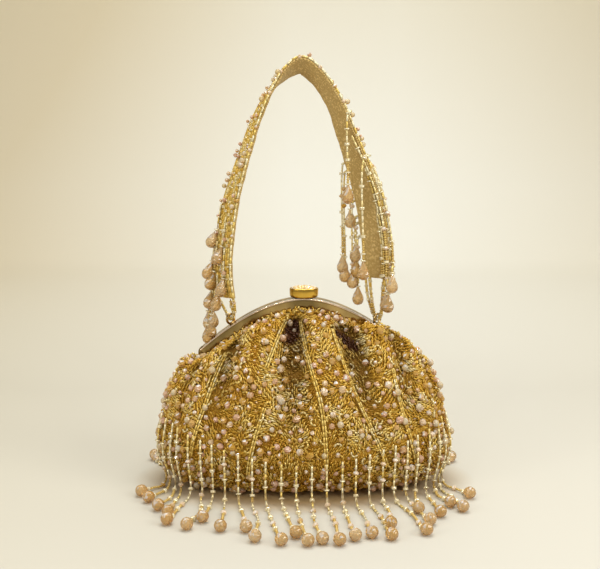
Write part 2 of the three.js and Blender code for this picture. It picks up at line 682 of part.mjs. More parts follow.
// The tape that the strings are sewn to, over the front or the back.
function fringeTape(side) {
  const angles = columnAngles.filter((angle) => angle * side > 0 && angle > -180);
  const rings = angles.map((angle) => {
    const out = outward(angle);
    const at = (up, away) => profileAt(tapeHeight(angle) + up, angle).addScaledVector(out, away);
    const half = FRINGE.tapeHeight / 2;
    return [
      at(half, 2 * GAP), at(half, 2 * GAP + FRINGE.tape),
      at(-half, 2 * GAP + FRINGE.tape), at(-half, 2 * GAP),
    ];
  });
  return solidOf(loft(rings));
}

// One string of the fringe: down over the belly, round onto the table, and out to its drop.
// The strings behind are those in front turned half round the bag.
function fringeString({ hangs, across, forward }, side) {
  const angle = side * THREE.MathUtils.radToDeg(Math.acos(-side * hangs));
  const out = outward(angle);
  const sewn = profileAt(tapeHeight(angle), angle).addScaledVector(out, 3 * GAP + FRINGE.tape);
  const hang = bodyPoint(bellyRow, angle).addScaledVector(out, STRING.radius + FRINGE.clear);
  const lies = STRING.radius;
  const drops = point(-side * across * POUCH.halfWidth, side * forward * POUCH.halfDepth, lies);
  const run = drops.clone().sub(hang).setZ(0).normalize();
  const tip = drops.clone().addScaledVector(run, -DROP.length * DROP_WIDEST.along);
  const foot = hang.clone().setZ(lies).addScaledVector(run, FRINGE.bend);
  const points = [sewn, hang.clone().setZ(FRINGE.bend), foot, tip];
  if (sewn.z > FRINGE.low + FRINGE.tapeHeight) points.splice(1, 0, hang.clone().setZ(FRINGE.low));
  const pitch = Math.asin((DROP.radius - lies) / (DROP.length * DROP_WIDEST.along));
  const lying = run.clone().multiplyScalar(Math.cos(pitch)).setZ(Math.sin(pitch));
  return stringWithDrop(points, lying);
}

function fringe(side) {
  return joined([fringeTape(side), ...FRINGE_STRINGS.map((string) => fringeString(string, side))]);
}

// Finishes
const finish = (color, roughness, metalness) =>
  new THREE.MeshStandardMaterial({ color, roughness, metalness });
const GILT = finish(0xc9a463, 0.25, 1);
const BEADWORK = finish(0xb48a3c, 0.4, 0.5);
const BAND_CLOTH = finish(0xb8924e, 0.6, 0.2);
const GLASS_STRINGS = finish(0xcaa560, 0.3, 0.3);
const STONES = finish(0xc8973a, 0.2, 0.6);

const bag = new THREE.Group();
function piece(name, solid, material) {
  const mesh = new THREE.Mesh(geometryOf(solid), material);
  mesh.name = name;
  bag.add(mesh);
}

piece("pouch", pouch(), BEADWORK);
piece("frame_front", frameHalf(-1).subtract(tongueSlot()), GILT);
piece("frame_back", joined([frameHalf(1), ...claspLugs(), eyelet(-1), eyelet(1)]), GILT);
piece("hinge_rivet_left", hingeRivet(-1), GILT);
piece("hinge_rivet_right", hingeRivet(1), GILT);
piece("clasp_pin", claspPin(), GILT);
piece("clasp_knob", claspKnob(), STONES);
piece("strap", strap(), BAND_CLOTH);
piece("strap_beads_left", strapBeads(-1), GLASS_STRINGS);
piece("strap_beads_right", strapBeads(1), GLASS_STRINGS);
piece("strap_loop_left", strapLoop(-1), GLASS_STRINGS);
piece("strap_loop_right", strapLoop(1), GLASS_STRINGS);
piece("fringe_front", fringe(-1), GLASS_STRINGS);
piece("fringe_back", fringe(1), GLASS_STRINGS);

export default bag;
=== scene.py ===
"""A beaded batua evening bag, dressed over its solid model.

The pouch's cloth, its crust of beads, the strap, the fringe and the gilt frame are each built by
one class. Sizes are millimetres inside the classes, and every finished piece is in metres.
"""

from __future__ import annotations

import itertools
import json
import logging
import math
from collections.abc import Callable, Sequence
from dataclasses import dataclass, field
from enum import Enum

import bpy
import numpy as np
from mathutils import Matrix, Vector

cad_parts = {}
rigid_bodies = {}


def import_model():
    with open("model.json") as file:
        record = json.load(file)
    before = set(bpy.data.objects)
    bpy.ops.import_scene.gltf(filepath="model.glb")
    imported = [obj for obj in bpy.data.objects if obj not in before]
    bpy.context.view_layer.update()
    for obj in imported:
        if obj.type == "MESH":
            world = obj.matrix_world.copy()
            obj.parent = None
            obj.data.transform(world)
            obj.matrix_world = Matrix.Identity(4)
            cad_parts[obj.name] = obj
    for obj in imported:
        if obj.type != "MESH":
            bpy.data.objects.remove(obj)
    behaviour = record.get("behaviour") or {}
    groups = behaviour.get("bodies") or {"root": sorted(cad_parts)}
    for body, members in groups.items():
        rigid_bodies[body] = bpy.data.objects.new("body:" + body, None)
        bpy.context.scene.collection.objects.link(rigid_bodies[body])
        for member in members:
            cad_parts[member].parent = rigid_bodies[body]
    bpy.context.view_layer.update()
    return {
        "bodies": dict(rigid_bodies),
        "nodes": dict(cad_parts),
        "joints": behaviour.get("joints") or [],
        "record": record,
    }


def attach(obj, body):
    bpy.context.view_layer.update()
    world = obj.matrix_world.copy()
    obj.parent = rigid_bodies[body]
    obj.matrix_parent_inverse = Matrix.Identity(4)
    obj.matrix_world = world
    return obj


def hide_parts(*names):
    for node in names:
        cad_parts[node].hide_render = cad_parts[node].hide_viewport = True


log = logging.getLogger("batua")
MM = 0.001
# The clearance between neighbouring pieces
GAP = 0.3
TINY = 1e-9
DOWN = np.array([0.0, 0.0, -1.0])

# Short names for types
Array = np.ndarray
Number = float | np.ndarray
Pair = tuple[float, float]
Triple = tuple[float, float, float]
Stops = Sequence[tuple[float, Triple]]
Piece = bpy.types.Object
Material = bpy.types.Material
Socket = bpy.types.NodeSocket


class Slot(Enum):
    """The finishes that the record names."""

    BEADWORK = "beadwork"
    METAL = "gilt_metal"
    STONES = "clasp_stones"
    CLOTH = "band_cloth"
    STRINGS = "bead_strings"


class Bead(Enum):
    """The kinds of bead that the bag is worked in."""

    BUGLE = "bugle"
    SEED = "seed"
    DISC = "disc"
    CRYSTAL = "crystal"
    DROP = "drop"
    BUBBLE = "bubble"
    THREAD = "thread"


# Sums on arrays


def unit(vectors: Array) -> Array:
    """Vectors of length one, along the last axis."""
    return vectors / np.maximum(np.linalg.norm(vectors, axis=-1, keepdims=True), TINY)


def bell(share: Array) -> Array:
    """A smooth hump, 1 at share 0 and 0 from share 1 on."""
    return np.where(np.abs(share) < 1, np.cos(share * np.pi / 2) ** 2, 0.0)


def turned(angle: Array, start: Number) -> Array:
    """How far an angle lies from another, from -180 to 180 degrees."""
    return (angle - start + 180) % 360 - 180


def mix(a: Number, b: Number, share: Number) -> Array:
    """A value part of the way from a to b."""
    return a + (b - a) * share


def smooth_through(at: Array, stops: Sequence[float], values: Sequence[float]) -> Array:
    """A smooth curve through a table.

    Args:
        at: where the curve is read.
        stops: the table's places, rising.
        values: the curve's value at each stop.

    Returns:
        The curve's values, with no corner at a stop.
    """
    xs, ys = np.asarray(stops, float), np.asarray(values, float)
    slopes = np.gradient(ys, xs)
    first = np.clip(np.searchsorted(xs, at, side="right") - 1, 0, len(xs) - 2)
    reach = xs[first + 1] - xs[first]
    t = np.clip((at - xs[first]) / reach, 0, 1)
    start = (2 * t**3 - 3 * t**2 + 1) * ys[first] + (t**3 - 2 * t**2 + t) * reach * slopes[first]
    end = (3 * t**2 - 2 * t**3) * ys[first + 1] + (t**3 - t**2) * reach * slopes[first + 1]
    return start + end


def lumps(places: Array, wave: float, seed: int) -> Array:
    """A smooth random field over places, mostly between -1 and 1, with humps about a wave apart."""
    rng = np.random.default_rng(seed)
    waves, evened = 7, 4
    ways = unit(rng.normal(size=(waves, 3))) * 2 * np.pi / (wave * rng.uniform(0.7, 1.4, (waves, 1)))
    return np.sin(places @ ways.T + rng.uniform(0, 2 * np.pi, waves)).sum(-1) / evened


def curve_through(points: Array, fine: int = 16) -> Array:
    """A centripetal curve through points.

    Args:
        points: the points, one row each.
        fine: how many steps lie between two points.

    Returns:
        The curve's own points, fine to a stretch, with the last point at the end.
    """
    ghosts = [2 * points[0] - points[1], *points, 2 * points[-1] - points[-2]]
    curve = []
    for p0, p1, p2, p3 in zip(ghosts, ghosts[1:], ghosts[2:], ghosts[3:], strict=False):
        t1 = math.sqrt(np.linalg.norm(p1 - p0))
        t2 = t1 + math.sqrt(np.linalg.norm(p2 - p1))
        t3 = t2 + math.sqrt(np.linalg.norm(p3 - p2))
        t = np.linspace(t1, t2, fine, endpoint=False)[:, None]
        a1 = (t1 - t) / t1 * p0 + t / t1 * p1
        a2 = (t2 - t) / (t2 - t1) * p1 + (t - t1) / (t2 - t1) * p2
        a3 = (t3 - t) / (t3 - t2) * p2 + (t - t2) / (t3 - t2) * p3
        b1 = (t2 - t) / t2 * a1 + t / t2 * a2
        b2 = (t3 - t) / (t3 - t1) * a2 + (t - t1) / (t3 - t1) * a3
        curve.append((t2 - t) / (t2 - t1) * b1 + (t - t1) / (t2 - t1) * b2)
    return np.vstack([*curve, points[-1]])


class Route:
    """A line that beads are strung along."""

    def __init__(self, points: Array) -> None:
        """Measures the line through points."""
        steps = np.linalg.norm(np.diff(points, axis=0), axis=1)
        self.points = points
        self.travelled = np.concatenate([[0.0], np.cumsum(steps)])
        self.length = float(self.travelled[-1])

    def at(self, along: Array) -> Array:
        """The places at distances along the line."""
        return np.stack([np.interp(along, self.travelled, self.points[:, i]) for i in range(3)], axis=-1)

    def heading(self, along: Array, probe: float = 0.5) -> Array:
        """The line's direction at distances along it."""
        step = min(probe, self.length / 4)
        ahead, behind = np.minimum(along + step, self.length), np.maximum(along - step, 0)
        return unit(self.at(ahead) - self.at(behind))


# Meshes


def new_piece(
    name: str,
    corners: Array,
    loops: Array,
    sizes: Array,
    smooth: Array | bool,
    materials: Sequence[Material],
    worn: Array | None = None,
) -> Piece:
    """Makes an object from arrays.

    Args:
        name: the piece's name.
        corners: places in millimetres, one row each.
        loops: the corners of every face, one face after another.
        sizes: how many corners each face has.
        smooth: whether faces are shaded smooth.
        materials: the finishes.
        worn: which finish each face wears.

    Returns:
        The object, linked to the scene and in metres.
    """
    mesh = bpy.data.meshes.new(name)
    mesh.vertices.add(len(corners))
    mesh.vertices.foreach_set("co", (corners * MM).astype(np.float32).ravel())
    mesh.loops.add(len(loops))
    mesh.loops.foreach_set("vertex_index", loops.astype(np.int32))
    mesh.polygons.add(len(sizes))
    mesh.polygons.foreach_set("loop_start", (np.cumsum(sizes) - sizes).astype(np.int32))
    mesh.polygons.foreach_set("use_smooth", np.broadcast_to(smooth, len(sizes)).astype(bool))
    for material in materials:
        mesh.materials.append(material)
    if worn is not None:
        mesh.polygons.foreach_set("material_index", worn.astype(np.int32))
    mesh.update(calc_edges=True)
    mesh.validate()
    piece = bpy.data.objects.new(name, mesh)
    bpy.context.scene.collection.objects.link(piece)
    return piece


def mark(piece: Piece, word: str, kind: str, domain: str, values: Array) -> None:
    """Gives a piece an attribute that its finish reads, of a kind that Blender names."""
    layer = piece.data.attributes.new(word, kind, domain)
    key = {"FLOAT": "value", "FLOAT_VECTOR": "vector", "FLOAT_COLOR": "color"}[kind]
    layer.data.foreach_set(key, values.astype(np.float32).ravel())


def lofted(name: str, rings: Array, material: Material, word: str, values: Array) -> Piece:
    """Makes a closed skin through rings of equally many points, with a fan at each end.

    Args:
        name: the piece's name.
        rings: ring, point and axis, in millimetres.
        material: its finish.
        word: the attribute that the finish reads.
        values: its vector at every point of the rings.

    Returns:
        The object.
    """
    count, around, _ = rings.shape
    corners = np.vstack([rings.reshape(-1, 3), rings[0].mean(0), rings[-1].mean(0)])
    row, column = np.meshgrid(np.arange(count - 1), np.arange(around), indexing="ij")
    a = (row * around + column).ravel()
    b = (row * around + (column + 1) % around).ravel()
    quads = np.stack([a, b, b + around, a + around], axis=1)
    edge = np.arange(around)
    following = (edge + 1) % around
    foot, head = count * around, count * around + 1
    first = np.stack([np.full(around, foot), following, edge], axis=1)
    last = np.stack([np.full(around, head), edge, following], axis=1)
    last[:, 1:] += (count - 1) * around
    loops = np.concatenate([quads.ravel(), first.ravel(), last.ravel()])
    sizes = np.concatenate([np.full(len(quads), 4), np.full(2 * around, 3)])
    piece = new_piece(name, corners, loops, sizes, True, [material])
    whole = np.vstack([values.reshape(-1, 3), values[0].mean(0), values[-1].mean(0)])
    mark(piece, word, "FLOAT_VECTOR", "POINT", whole)
    return piece


def wear(piece: Piece, material: Material) -> None:
    """Gives the whole of a piece one finish."""
    piece.data.materials.clear()
    piece.data.materials.append(material)


def dress(piece: Piece, stands_for: Sequence[str] = (), body: str = "root") -> None:
    """Gives a piece its body and hides the solids that it stands for."""
    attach(piece, body)
    if stands_for:
        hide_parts(*stands_for)
    log.info("%s: %d faces", piece.name, len(piece.data.polygons))


# Finishes


class Finish:
    """A procedural material and the nodes that make it."""

    def __init__(self, name: str, **sockets: float | tuple[float, ...]) -> None:
        """Starts a finish.

        Args:
            name: the material's name.
            **sockets: the shader's sockets by name, with _ for a space.
        """
        self.material = bpy.data.materials.new(name)
        self.material.use_nodes = True
        self.tree = self.material.node_tree
        self.shader = self.tree.nodes["Principled BSDF"]
        for socket, value in sockets.items():
            words = socket.replace("_", " ").title().replace("Ior", "IOR")
            self.shader.inputs[words].default_value = (*value, 1.0) if isinstance(value, tuple) else value

    def node(self, kind: str, sockets: dict | None = None, **settings: object) -> bpy.types.Node:
        """Adds a node.

        Args:
            kind: the node's type, without its ShaderNode start.
            sockets: values and links for its inputs.
            **settings: its own settings.

        Returns:
            The node.
        """
        made = self.tree.nodes.new("ShaderNode" + kind)
        for setting, value in settings.items():
            setattr(made, setting, value)
        for socket, value in (sockets or {}).items():
            if isinstance(value, Socket):
                self.tree.links.new(value, made.inputs[socket])
            else:
                made.inputs[socket].default_value = value
        return made

    def link(self, output: Socket, socket: str) -> None:
        """Feeds one of the shader's sockets."""
        self.tree.links.new(output, self.shader.inputs[socket])

    def place(self) -> Socket:
        """Object coordinates."""
        return self.node("TexCoord").outputs["Object"]

    def attribute(self, word: str, output: str) -> Socket:
        """One of the mesh's own attributes."""
        return self.node("Attribute", attribute_name=word).outputs[output]

    def axes(self, vector: Socket) -> bpy.types.bpy_prop_collection:
        """The parts of a vector, by the names of the axes."""
        return self.node("SeparateXYZ", {0: vector}).outputs

    def tone_and_shade(self) -> tuple[Socket, Socket]:
        """Each bead's own place in the tones, and its painted shade."""
        parts = self.node("SeparateColor", {"Color": self.attribute("bead", "Color")}).outputs
        return parts["Red"], parts["Green"]

    def ramp(self, share: Socket, stops: Stops) -> Socket:
        """A colour from a share, through stops of place and colour."""
        ramp = self.node("ValToRGB", {"Fac": share})
        while len(ramp.color_ramp.elements) < len(stops):
            ramp.color_ramp.elements.new(1.0)
        for element, (place, colour) in zip(ramp.color_ramp.elements, stops, strict=True):
            element.position = place
            element.color = (*colour, 1.0)
        return ramp.outputs["Color"]

    def noise(self, scale: float, detail: float = 3.0) -> Socket:
        """A noise of a scale in cycles a metre."""
        sockets = {"Vector": self.place(), "Scale": scale, "Detail": detail}
        return self.node("TexNoise", sockets).outputs["Fac"]

    def maths(self, way: str, *values: Socket | float) -> Socket:
        """A sum of a kind that Blender names, on values and links."""
        return self.node("Math", dict(enumerate(values)), operation=way).outputs[0]

    def blended(self, share: Socket | float, a: object, b: object, way: str = "MIX") -> Socket:
        """Two colours mixed, each a socket or a colour."""
        coloured = [(*colour, 1.0) if isinstance(colour, tuple) else colour for colour in (a, b)]
        sockets = {0: share, 6: coloured[0], 7: coloured[1]}
        return self.node("Mix", sockets, data_type="RGBA", blend_type=way).outputs[2]

    def span(self, value: Socket, low: float, high: float, start: float = 0.0, end: float = 1.0) -> Socket:
        """A value carried from the span start to end to the span low to high."""
        sockets = {"Value": value, "From Min": start, "From Max": end, "To Min": low, "To Max": high}
        return self.node("MapRange", sockets).outputs["Result"]

    def bump(self, height: Socket, strength: float, depth: float) -> None:
        """Roughens the surface by a height."""
        made = self.node("Bump", {"Height": height, "Strength": strength, "Distance": depth})
        self.link(made.outputs["Normal"], "Normal")


# The painted shade of the deepest folds and pits, the colours of the ground cloth, and the painted light and
# shade of the facets
PIT_SHADE = (0.07, 0.022, 0.006)
GROUND = ((0.3, (0.28, 0.13, 0.01)), (0.6, (0.50, 0.28, 0.03)), (0.8, (0.68, 0.44, 0.09)))
FACET_LIGHT = ((0.2, (0.56, 0.35, 0.15)), (0.5, (0.92, 0.80, 0.66)), (0.75, (1.0, 0.97, 0.95)))


def glass(name: str, stops: Stops, cut: bool = False, **sockets: float) -> Material:
    """Tinted glass: each bead has its own tone, and beads in the folds are painted dark as shade.

    Args:
        name: the material's name.
        stops: the colours of the tones, from 0 to 1.
        cut: whether its facets are painted darker or paler as the light falls, with a painted white glint on
            those that face it, and not clouded.
        **sockets: the shader's own numbers.

    Returns:
        The material.
    """
    made = Finish(name, **sockets)
    tone, shade = made.tone_and_shade()
    colour = made.ramp(tone, stops)
    if cut:
        # Painted light and shade on the facets, and a painted white glint where they face the light.
        facet = made.attribute("facet", "Fac")
        colour = made.blended(1.0, colour, made.ramp(facet, FACET_LIGHT), "MULTIPLY")
        colour = made.blended(made.span(facet, 0.0, 1.0, 0.86, 0.9), colour, (1.0, 0.97, 0.91))
    else:
        colour = made.blended(made.span(made.noise(900.0), 0.0, 0.3), colour, (0.30, 0.17, 0.02))
    # Painted shade: beads in the folds and pits are darkened towards the pits' shade colour.
    made.link(made.blended(shade, colour, PIT_SHADE), "Base Color")
    return made.material


def backing_cloth() -> Material:
    """The pouch's ground cloth between the beads, with painted shade in the folds."""
    cloth = Finish("backing cloth", roughness=0.7, specular_ior_level=0.15)
    fold = cloth.axes(cloth.attribute("fold", "Vector"))["X"]
    thread = cloth.noise(1400.0, 2.0)
    # Painted shade in the folds and pits.
    cloth.link(cloth.blended(fold, cloth.ramp(thread, GROUND), PIT_SHADE), "Base Color")
    cloth.bump(thread, 0.8, 0.0006)
    return cloth.material


def woven_lining() -> Material:
    """The band's woven lining: fine threads both ways, pale flecks and soft wear."""
    cloth = Finish("woven lining", roughness=0.6, specular_ior_level=0.25)
    weave = cloth.axes(cloth.attribute("weave", "Vector"))
    warp, weft = (
        cloth.maths("SINE", cloth.maths("MULTIPLY", weave[axis], 2 * math.pi / pitch))
        for axis, pitch in (("X", 1.3), ("Y", 1.5))
    )
    height = cloth.span(cloth.maths("MULTIPLY", warp, weft), 0.0, 1.0, -1.0, 1.0)
    worn = cloth.span(cloth.noise(90.0), 0.0, 0.5, 0.3, 0.8)
    fleck = cloth.span(cloth.noise(700.0, 2.0), 0.0, 0.75, 0.52, 0.66)
    thread = cloth.ramp(height, [(0.1, (0.20, 0.11, 0.02)), (0.9, (0.72, 0.52, 0.2))])
    faded = cloth.blended(worn, thread, (0.42, 0.27, 0.07))
    cloth.link(cloth.blended(fleck, faded, (0.80, 0.60, 0.26)), "Base Color")
    cloth.bump(height, 0.5, 0.0003)
    return cloth.material


def gilt_metal(name: str, base: Triple, roughness: float, deep: float = 0.72) -> Material:
    """Polished plated metal, with clouding and hairlines.

    Args:
        name: the material's name.
        base: its colour.
        roughness: its roughness.
        deep: how dark the clouds are, as a share of the base.

    Returns:
        The material.
    """
    metal = Finish(name, metallic=1.0)
    clouds = metal.span(metal.noise(28.0), 0.0, 1.0, 0.4, 0.62)
    metal.link(metal.blended(clouds, base, tuple(deep * part for part in base)), "Base Color")
    metal.link(metal.span(metal.noise(500.0), roughness * 0.75, roughness * 1.4), "Roughness")
    metal.bump(metal.noise(35.0, 1.0), 0.06, 0.0008)
    return metal.material


def plain_thread() -> Material:
    """The thread that the beads are on."""
    thread = Finish("thread", base_color=(0.35, 0.22, 0.08), roughness=0.8)
    thread.bump(thread.noise(3000.0), 0.4, 0.0002)
    return thread.material


# Each glass's tones: the place and the colour of every stop
GOLD = (
    (0.0, (0.54, 0.27, 0.014)), (0.4, (0.72, 0.43, 0.045)), (0.75, (0.86, 0.65, 0.19)),
    (1.0, (0.90, 0.82, 0.54)),
)
AMBER = ((0.0, (0.46, 0.25, 0.03)), (0.6, (0.68, 0.48, 0.14)), (1.0, (0.84, 0.70, 0.36)))
PALE = ((0.0, (0.72, 0.56, 0.26)), (1.0, (0.93, 0.85, 0.60)))
CUT = (
    (0.0, (0.84, 0.56, 0.40)), (0.3, (0.80, 0.53, 0.30)), (0.45, (0.76, 0.48, 0.12)),
    (0.7, (0.70, 0.42, 0.06)), (0.9, (0.96, 0.80, 0.58)),
)
PEACH = ((0.0, (0.82, 0.56, 0.20)), (0.5, (0.88, 0.67, 0.34)), (1.0, (0.96, 0.80, 0.52)))
CLEAR = ((0.0, (0.92, 0.80, 0.48)), (1.0, (0.96, 0.90, 0.70)))
PAVED = ((0.0, (0.70, 0.46, 0.12)), (1.0, (0.92, 0.74, 0.4)))


@dataclass(frozen=True)
class Palette:
    """Every finish of the bag, one of each."""

    bugle: Material
    seed: Material
    disc: Material
    crystal: Material
    drop: Material
    bubble: Material
    stones: Material
    thread: Material
    backing: Material
    lining: Material
    gilt: Material
    rim: Material
    drum: Material

    @classmethod
    def mixed(cls) -> Palette:
        """Makes the finishes."""
        polished = {"roughness": 0.05, "ior": 1.5}
        return cls(
            bugle=glass("bugle glass", GOLD, roughness=0.25, metallic=0.3),
            seed=glass("seed glass", AMBER, roughness=0.2, metallic=0.2),
            disc=glass("disc glass", PALE, roughness=0.16, metallic=0.4),
            crystal=glass("crystal glass", CUT, True, coat_weight=0.8, transmission_weight=0.32, **polished),
            drop=glass("drop glass", PEACH, True, coat_weight=0.6, transmission_weight=0.62, **polished),
            bubble=glass("bubble glass", CLEAR, True, roughness=0.03, transmission_weight=0.5, ior=1.45),
            stones=glass("clasp stones", PAVED, True, roughness=0.12, metallic=0.55),
            thread=plain_thread(),
            backing=backing_cloth(),
            lining=woven_lining(),
            # The frame's gilt is darkened, with deep clouds, as a painted dark reflection; the rim wire's
            # paler gilt is a painted highlight along the top edge.
            gilt=gilt_metal("gilt metal", (0.54, 0.37, 0.14), 0.17, 0.38),
            rim=gilt_metal("highlit rosy gilt", (0.86, 0.68, 0.50), 0.16),
            drum=gilt_metal("amber gilt", (0.80, 0.49, 0.08), 0.14),
        )


# Beads


@dataclass(frozen=True)
class BeadForm:
    """A bead turned about its own hole.

    Args:
        outline: shares of the length, from -0.5 to 0.5, each with a share of the radius.
        sides: how many sides it has.
        smooth: whether it is shaded round, or shows its facets.
        twist: how far each ring of the outline is turned on from the last, in sides.
    """

    outline: tuple[Pair, ...]
    sides: int
    smooth: bool
    twist: float = 0.0

    def corners(self) -> Array:
        """The corners of one bead, one unit long and one unit in radius."""
        rings = []
        for ring, (along, out) in enumerate(self.outline):
            turn = (np.arange(self.sides) + 0.5 + ring * self.twist) * 2 * np.pi / self.sides
            corners = [out * np.cos(turn), out * np.sin(turn), np.full_like(turn, along)]
            rings.append(np.stack(corners, axis=1))
        return np.vstack(rings)

    def faces(self) -> list[list[int]]:
        """The faces of one bead, each as a list of corners."""
        n = self.sides
        bands = [
            [ring * n + i, ring * n + (i + 1) % n, (ring + 1) * n + (i + 1) % n, (ring + 1) * n + i]
            for ring in range(len(self.outline) - 1)
            for i in range(n)
        ]
        last = (len(self.outline) - 1) * n
        return [list(range(n))[::-1], *bands, list(range(last, last + n))]


# A cut drop from its hole to its round end, as shares of its length and radius
DROP_OUTLINE = (
    (-0.5, 0.12), (-0.3, 0.36), (-0.1, 0.68), (0.06, 0.92), (0.2, 1.0), (0.34, 0.9), (0.45, 0.62),
    (0.5, 0.25),
)
BEAD_FORMS: dict[Bead, BeadForm] = {
    Bead.BUGLE: BeadForm(((-0.5, 1.0), (0.5, 1.0)), 4, True),
    Bead.SEED: BeadForm(((-0.5, 0.55), (0.0, 1.0), (0.5, 0.55)), 6, True),
    Bead.DISC: BeadForm(((-0.5, 0.92), (0.0, 1.0), (0.5, 0.92)), 8, True),
    Bead.CRYSTAL: BeadForm(((-0.5, 0.42), (-0.12, 1.0), (0.12, 1.0), (0.5, 0.42)), 7, False, 0.5),
    Bead.DROP: BeadForm(DROP_OUTLINE, 11, False, 0.5),
    Bead.BUBBLE: BeadForm(((-0.5, 0.2), (-0.35, 0.72), (0.0, 1.0), (0.35, 0.72), (0.5, 0.2)), 9, True),
    Bead.THREAD: BeadForm(((-0.5, 1.0), (0.5, 1.0)), 4, True),
}


@dataclass
class BeadPile:
    """Beads of every kind that are joined in one piece.

    Args:
        palette: the finishes.
        lit_from: the way that the painted light comes from, which the pale facets face.
        uneven: how much of a facet's tone is chance.
        rows: for each kind, tables of centre, axis, side, length, radius, tone and painted shade.
    """

    palette: Palette
    lit_from: Triple = (-0.35, -0.5, 0.8)
    uneven: float = 0.3
    rows: dict[Bead, list[Array]] = field(default_factory=lambda: {bead: [] for bead in Bead})

    def add(
        self,
        bead: Bead,
        centre: Array,
        axis: Array,
        side: Array,
        length: Number,
        radius: Number,
        tone: Number = 0.5,
        shade: Number = 0.0,
    ) -> None:
        """Adds beads of one kind.

        Args:
            bead: the kind.
            centre: the middles, one row each.
            axis: the directions of their holes.
            side: a direction roughly square to each axis.
            length: along the hole.
            radius: of the widest ring.
            tone: each bead's place in its finish's colours.
            shade: how dark it is painted, as shade, for lying in a fold.
        """
        centre = np.atleast_2d(centre)
        count = len(centre)
        axis = unit(np.broadcast_to(axis, (count, 3)))
        side = np.broadcast_to(side, (count, 3))
        side = unit(side - axis * (side * axis).sum(-1, keepdims=True))
        numbers = [np.broadcast_to(value, count)[:, None] for value in (length, radius, tone, shade)]
        self.rows[bead].append(np.hstack([centre, axis, side, *numbers]))

    def half(self, side: int) -> BeadPile:
        """The beads in front (-1) or behind (1)."""
        part = BeadPile(self.palette)
        for bead, tables in self.rows.items():
            if tables:
                table = np.vstack(tables)
                part.rows[bead] = [table[table[:, 1] * side >= 0]]
        return part

    def joined(self, name: str, seed: int = 5) -> Piece:
        """Makes one object of all the beads.

        Args:
            name: the piece's name.
            seed: of the facets' tones.

        Returns:
            The object.
        """
        corners, loops, sizes, smooth, worn, words = [], [], [], [], [], []
        first = 0
        kinds = [bead for bead in Bead if self.rows[bead]]
        for slot, bead in enumerate(kinds):
            rows = np.vstack(self.rows[bead])
            form = BEAD_FORMS[bead]
            shape, faces = form.corners(), form.faces()
            count = len(rows)
            centre, axis, side = (rows[:, None, start : start + 3] for start in (0, 3, 6))
            length, radius = rows[:, None, 9:10], rows[:, None, 10:11]
            across = shape[:, 0:1] * side + shape[:, 1:2] * np.cross(axis, side)
            corners.append((centre + radius * across + length * shape[:, 2:3] * axis).reshape(-1, 3))
            copies = np.arange(count)[:, None] * len(shape)
            loops.append((np.concatenate(faces)[None] + copies + first).ravel())
            sizes.append(np.tile([len(face) for face in faces], count))
            smooth.append(np.full(len(faces) * count, form.smooth))
            worn.append(np.full(len(faces) * count, slot))
            words.append(np.repeat(rows[:, 11:13], len(shape), axis=0))
            first += len(shape) * count
        materials = [getattr(self.palette, bead.value) for bead in kinds]
        loops, sizes, smooth, worn = (np.concatenate(parts) for parts in (loops, sizes, smooth, worn))
        piece = new_piece(name, np.vstack(corners), loops, sizes, smooth, materials, worn)
        tones = np.vstack(words)
        blue_and_alpha = np.tile([0.0, 1.0], (len(tones), 1))
        mark(piece, "bead", "FLOAT_COLOR", "POINT", np.hstack([tones, blue_and_alpha]))
        # Painted light: facets that face lit_from are paler, part by chance.
        facing = np.empty(3 * len(sizes), np.float32)
        piece.data.polygons.foreach_get("normal", facing)
        lit = 0.5 + 0.5 * facing.reshape(-1, 3) @ unit(np.array(self.lit_from))
        facets = mix(lit, np.random.default_rng(seed).random(len(sizes)), self.uneven)
        mark(piece, "facet", "FLOAT", "FACE", facets)
        return piece


@dataclass(frozen=True)
class StringStyle:
    """How the beads follow each other on a string.

    Args:
        bugle: length and radius of a bugle, as for the seed, the disc, the cut bead and the drop.
        thread: radius of the thread, which has a bend at every thread_step.
        run: how many bugles follow each other, at most.
        seeds_from: where the seeds take over, as a share of the length.
        cut: the share of the runs that end with a cut bead.
        space: between two beads.
        spread: of the tones, of which the seeds' are lower by seed_tone.
    """

    bugle: Pair = (4.2, 0.85)
    seed: Pair = (1.6, 1.1)
    disc: Pair = (0.8, 1.95)
    crystal: Pair = (2.8, 1.95)
    drop: Pair = (13.5, 4.1)
    thread: float = 0.3
    thread_step: float = 6.0
    run: int = 4
    seeds_from: float = 0.62
    cut: float = 0.3
    space: float = 0.12
    spread: float = 0.16
    seed_tone: float = 0.35


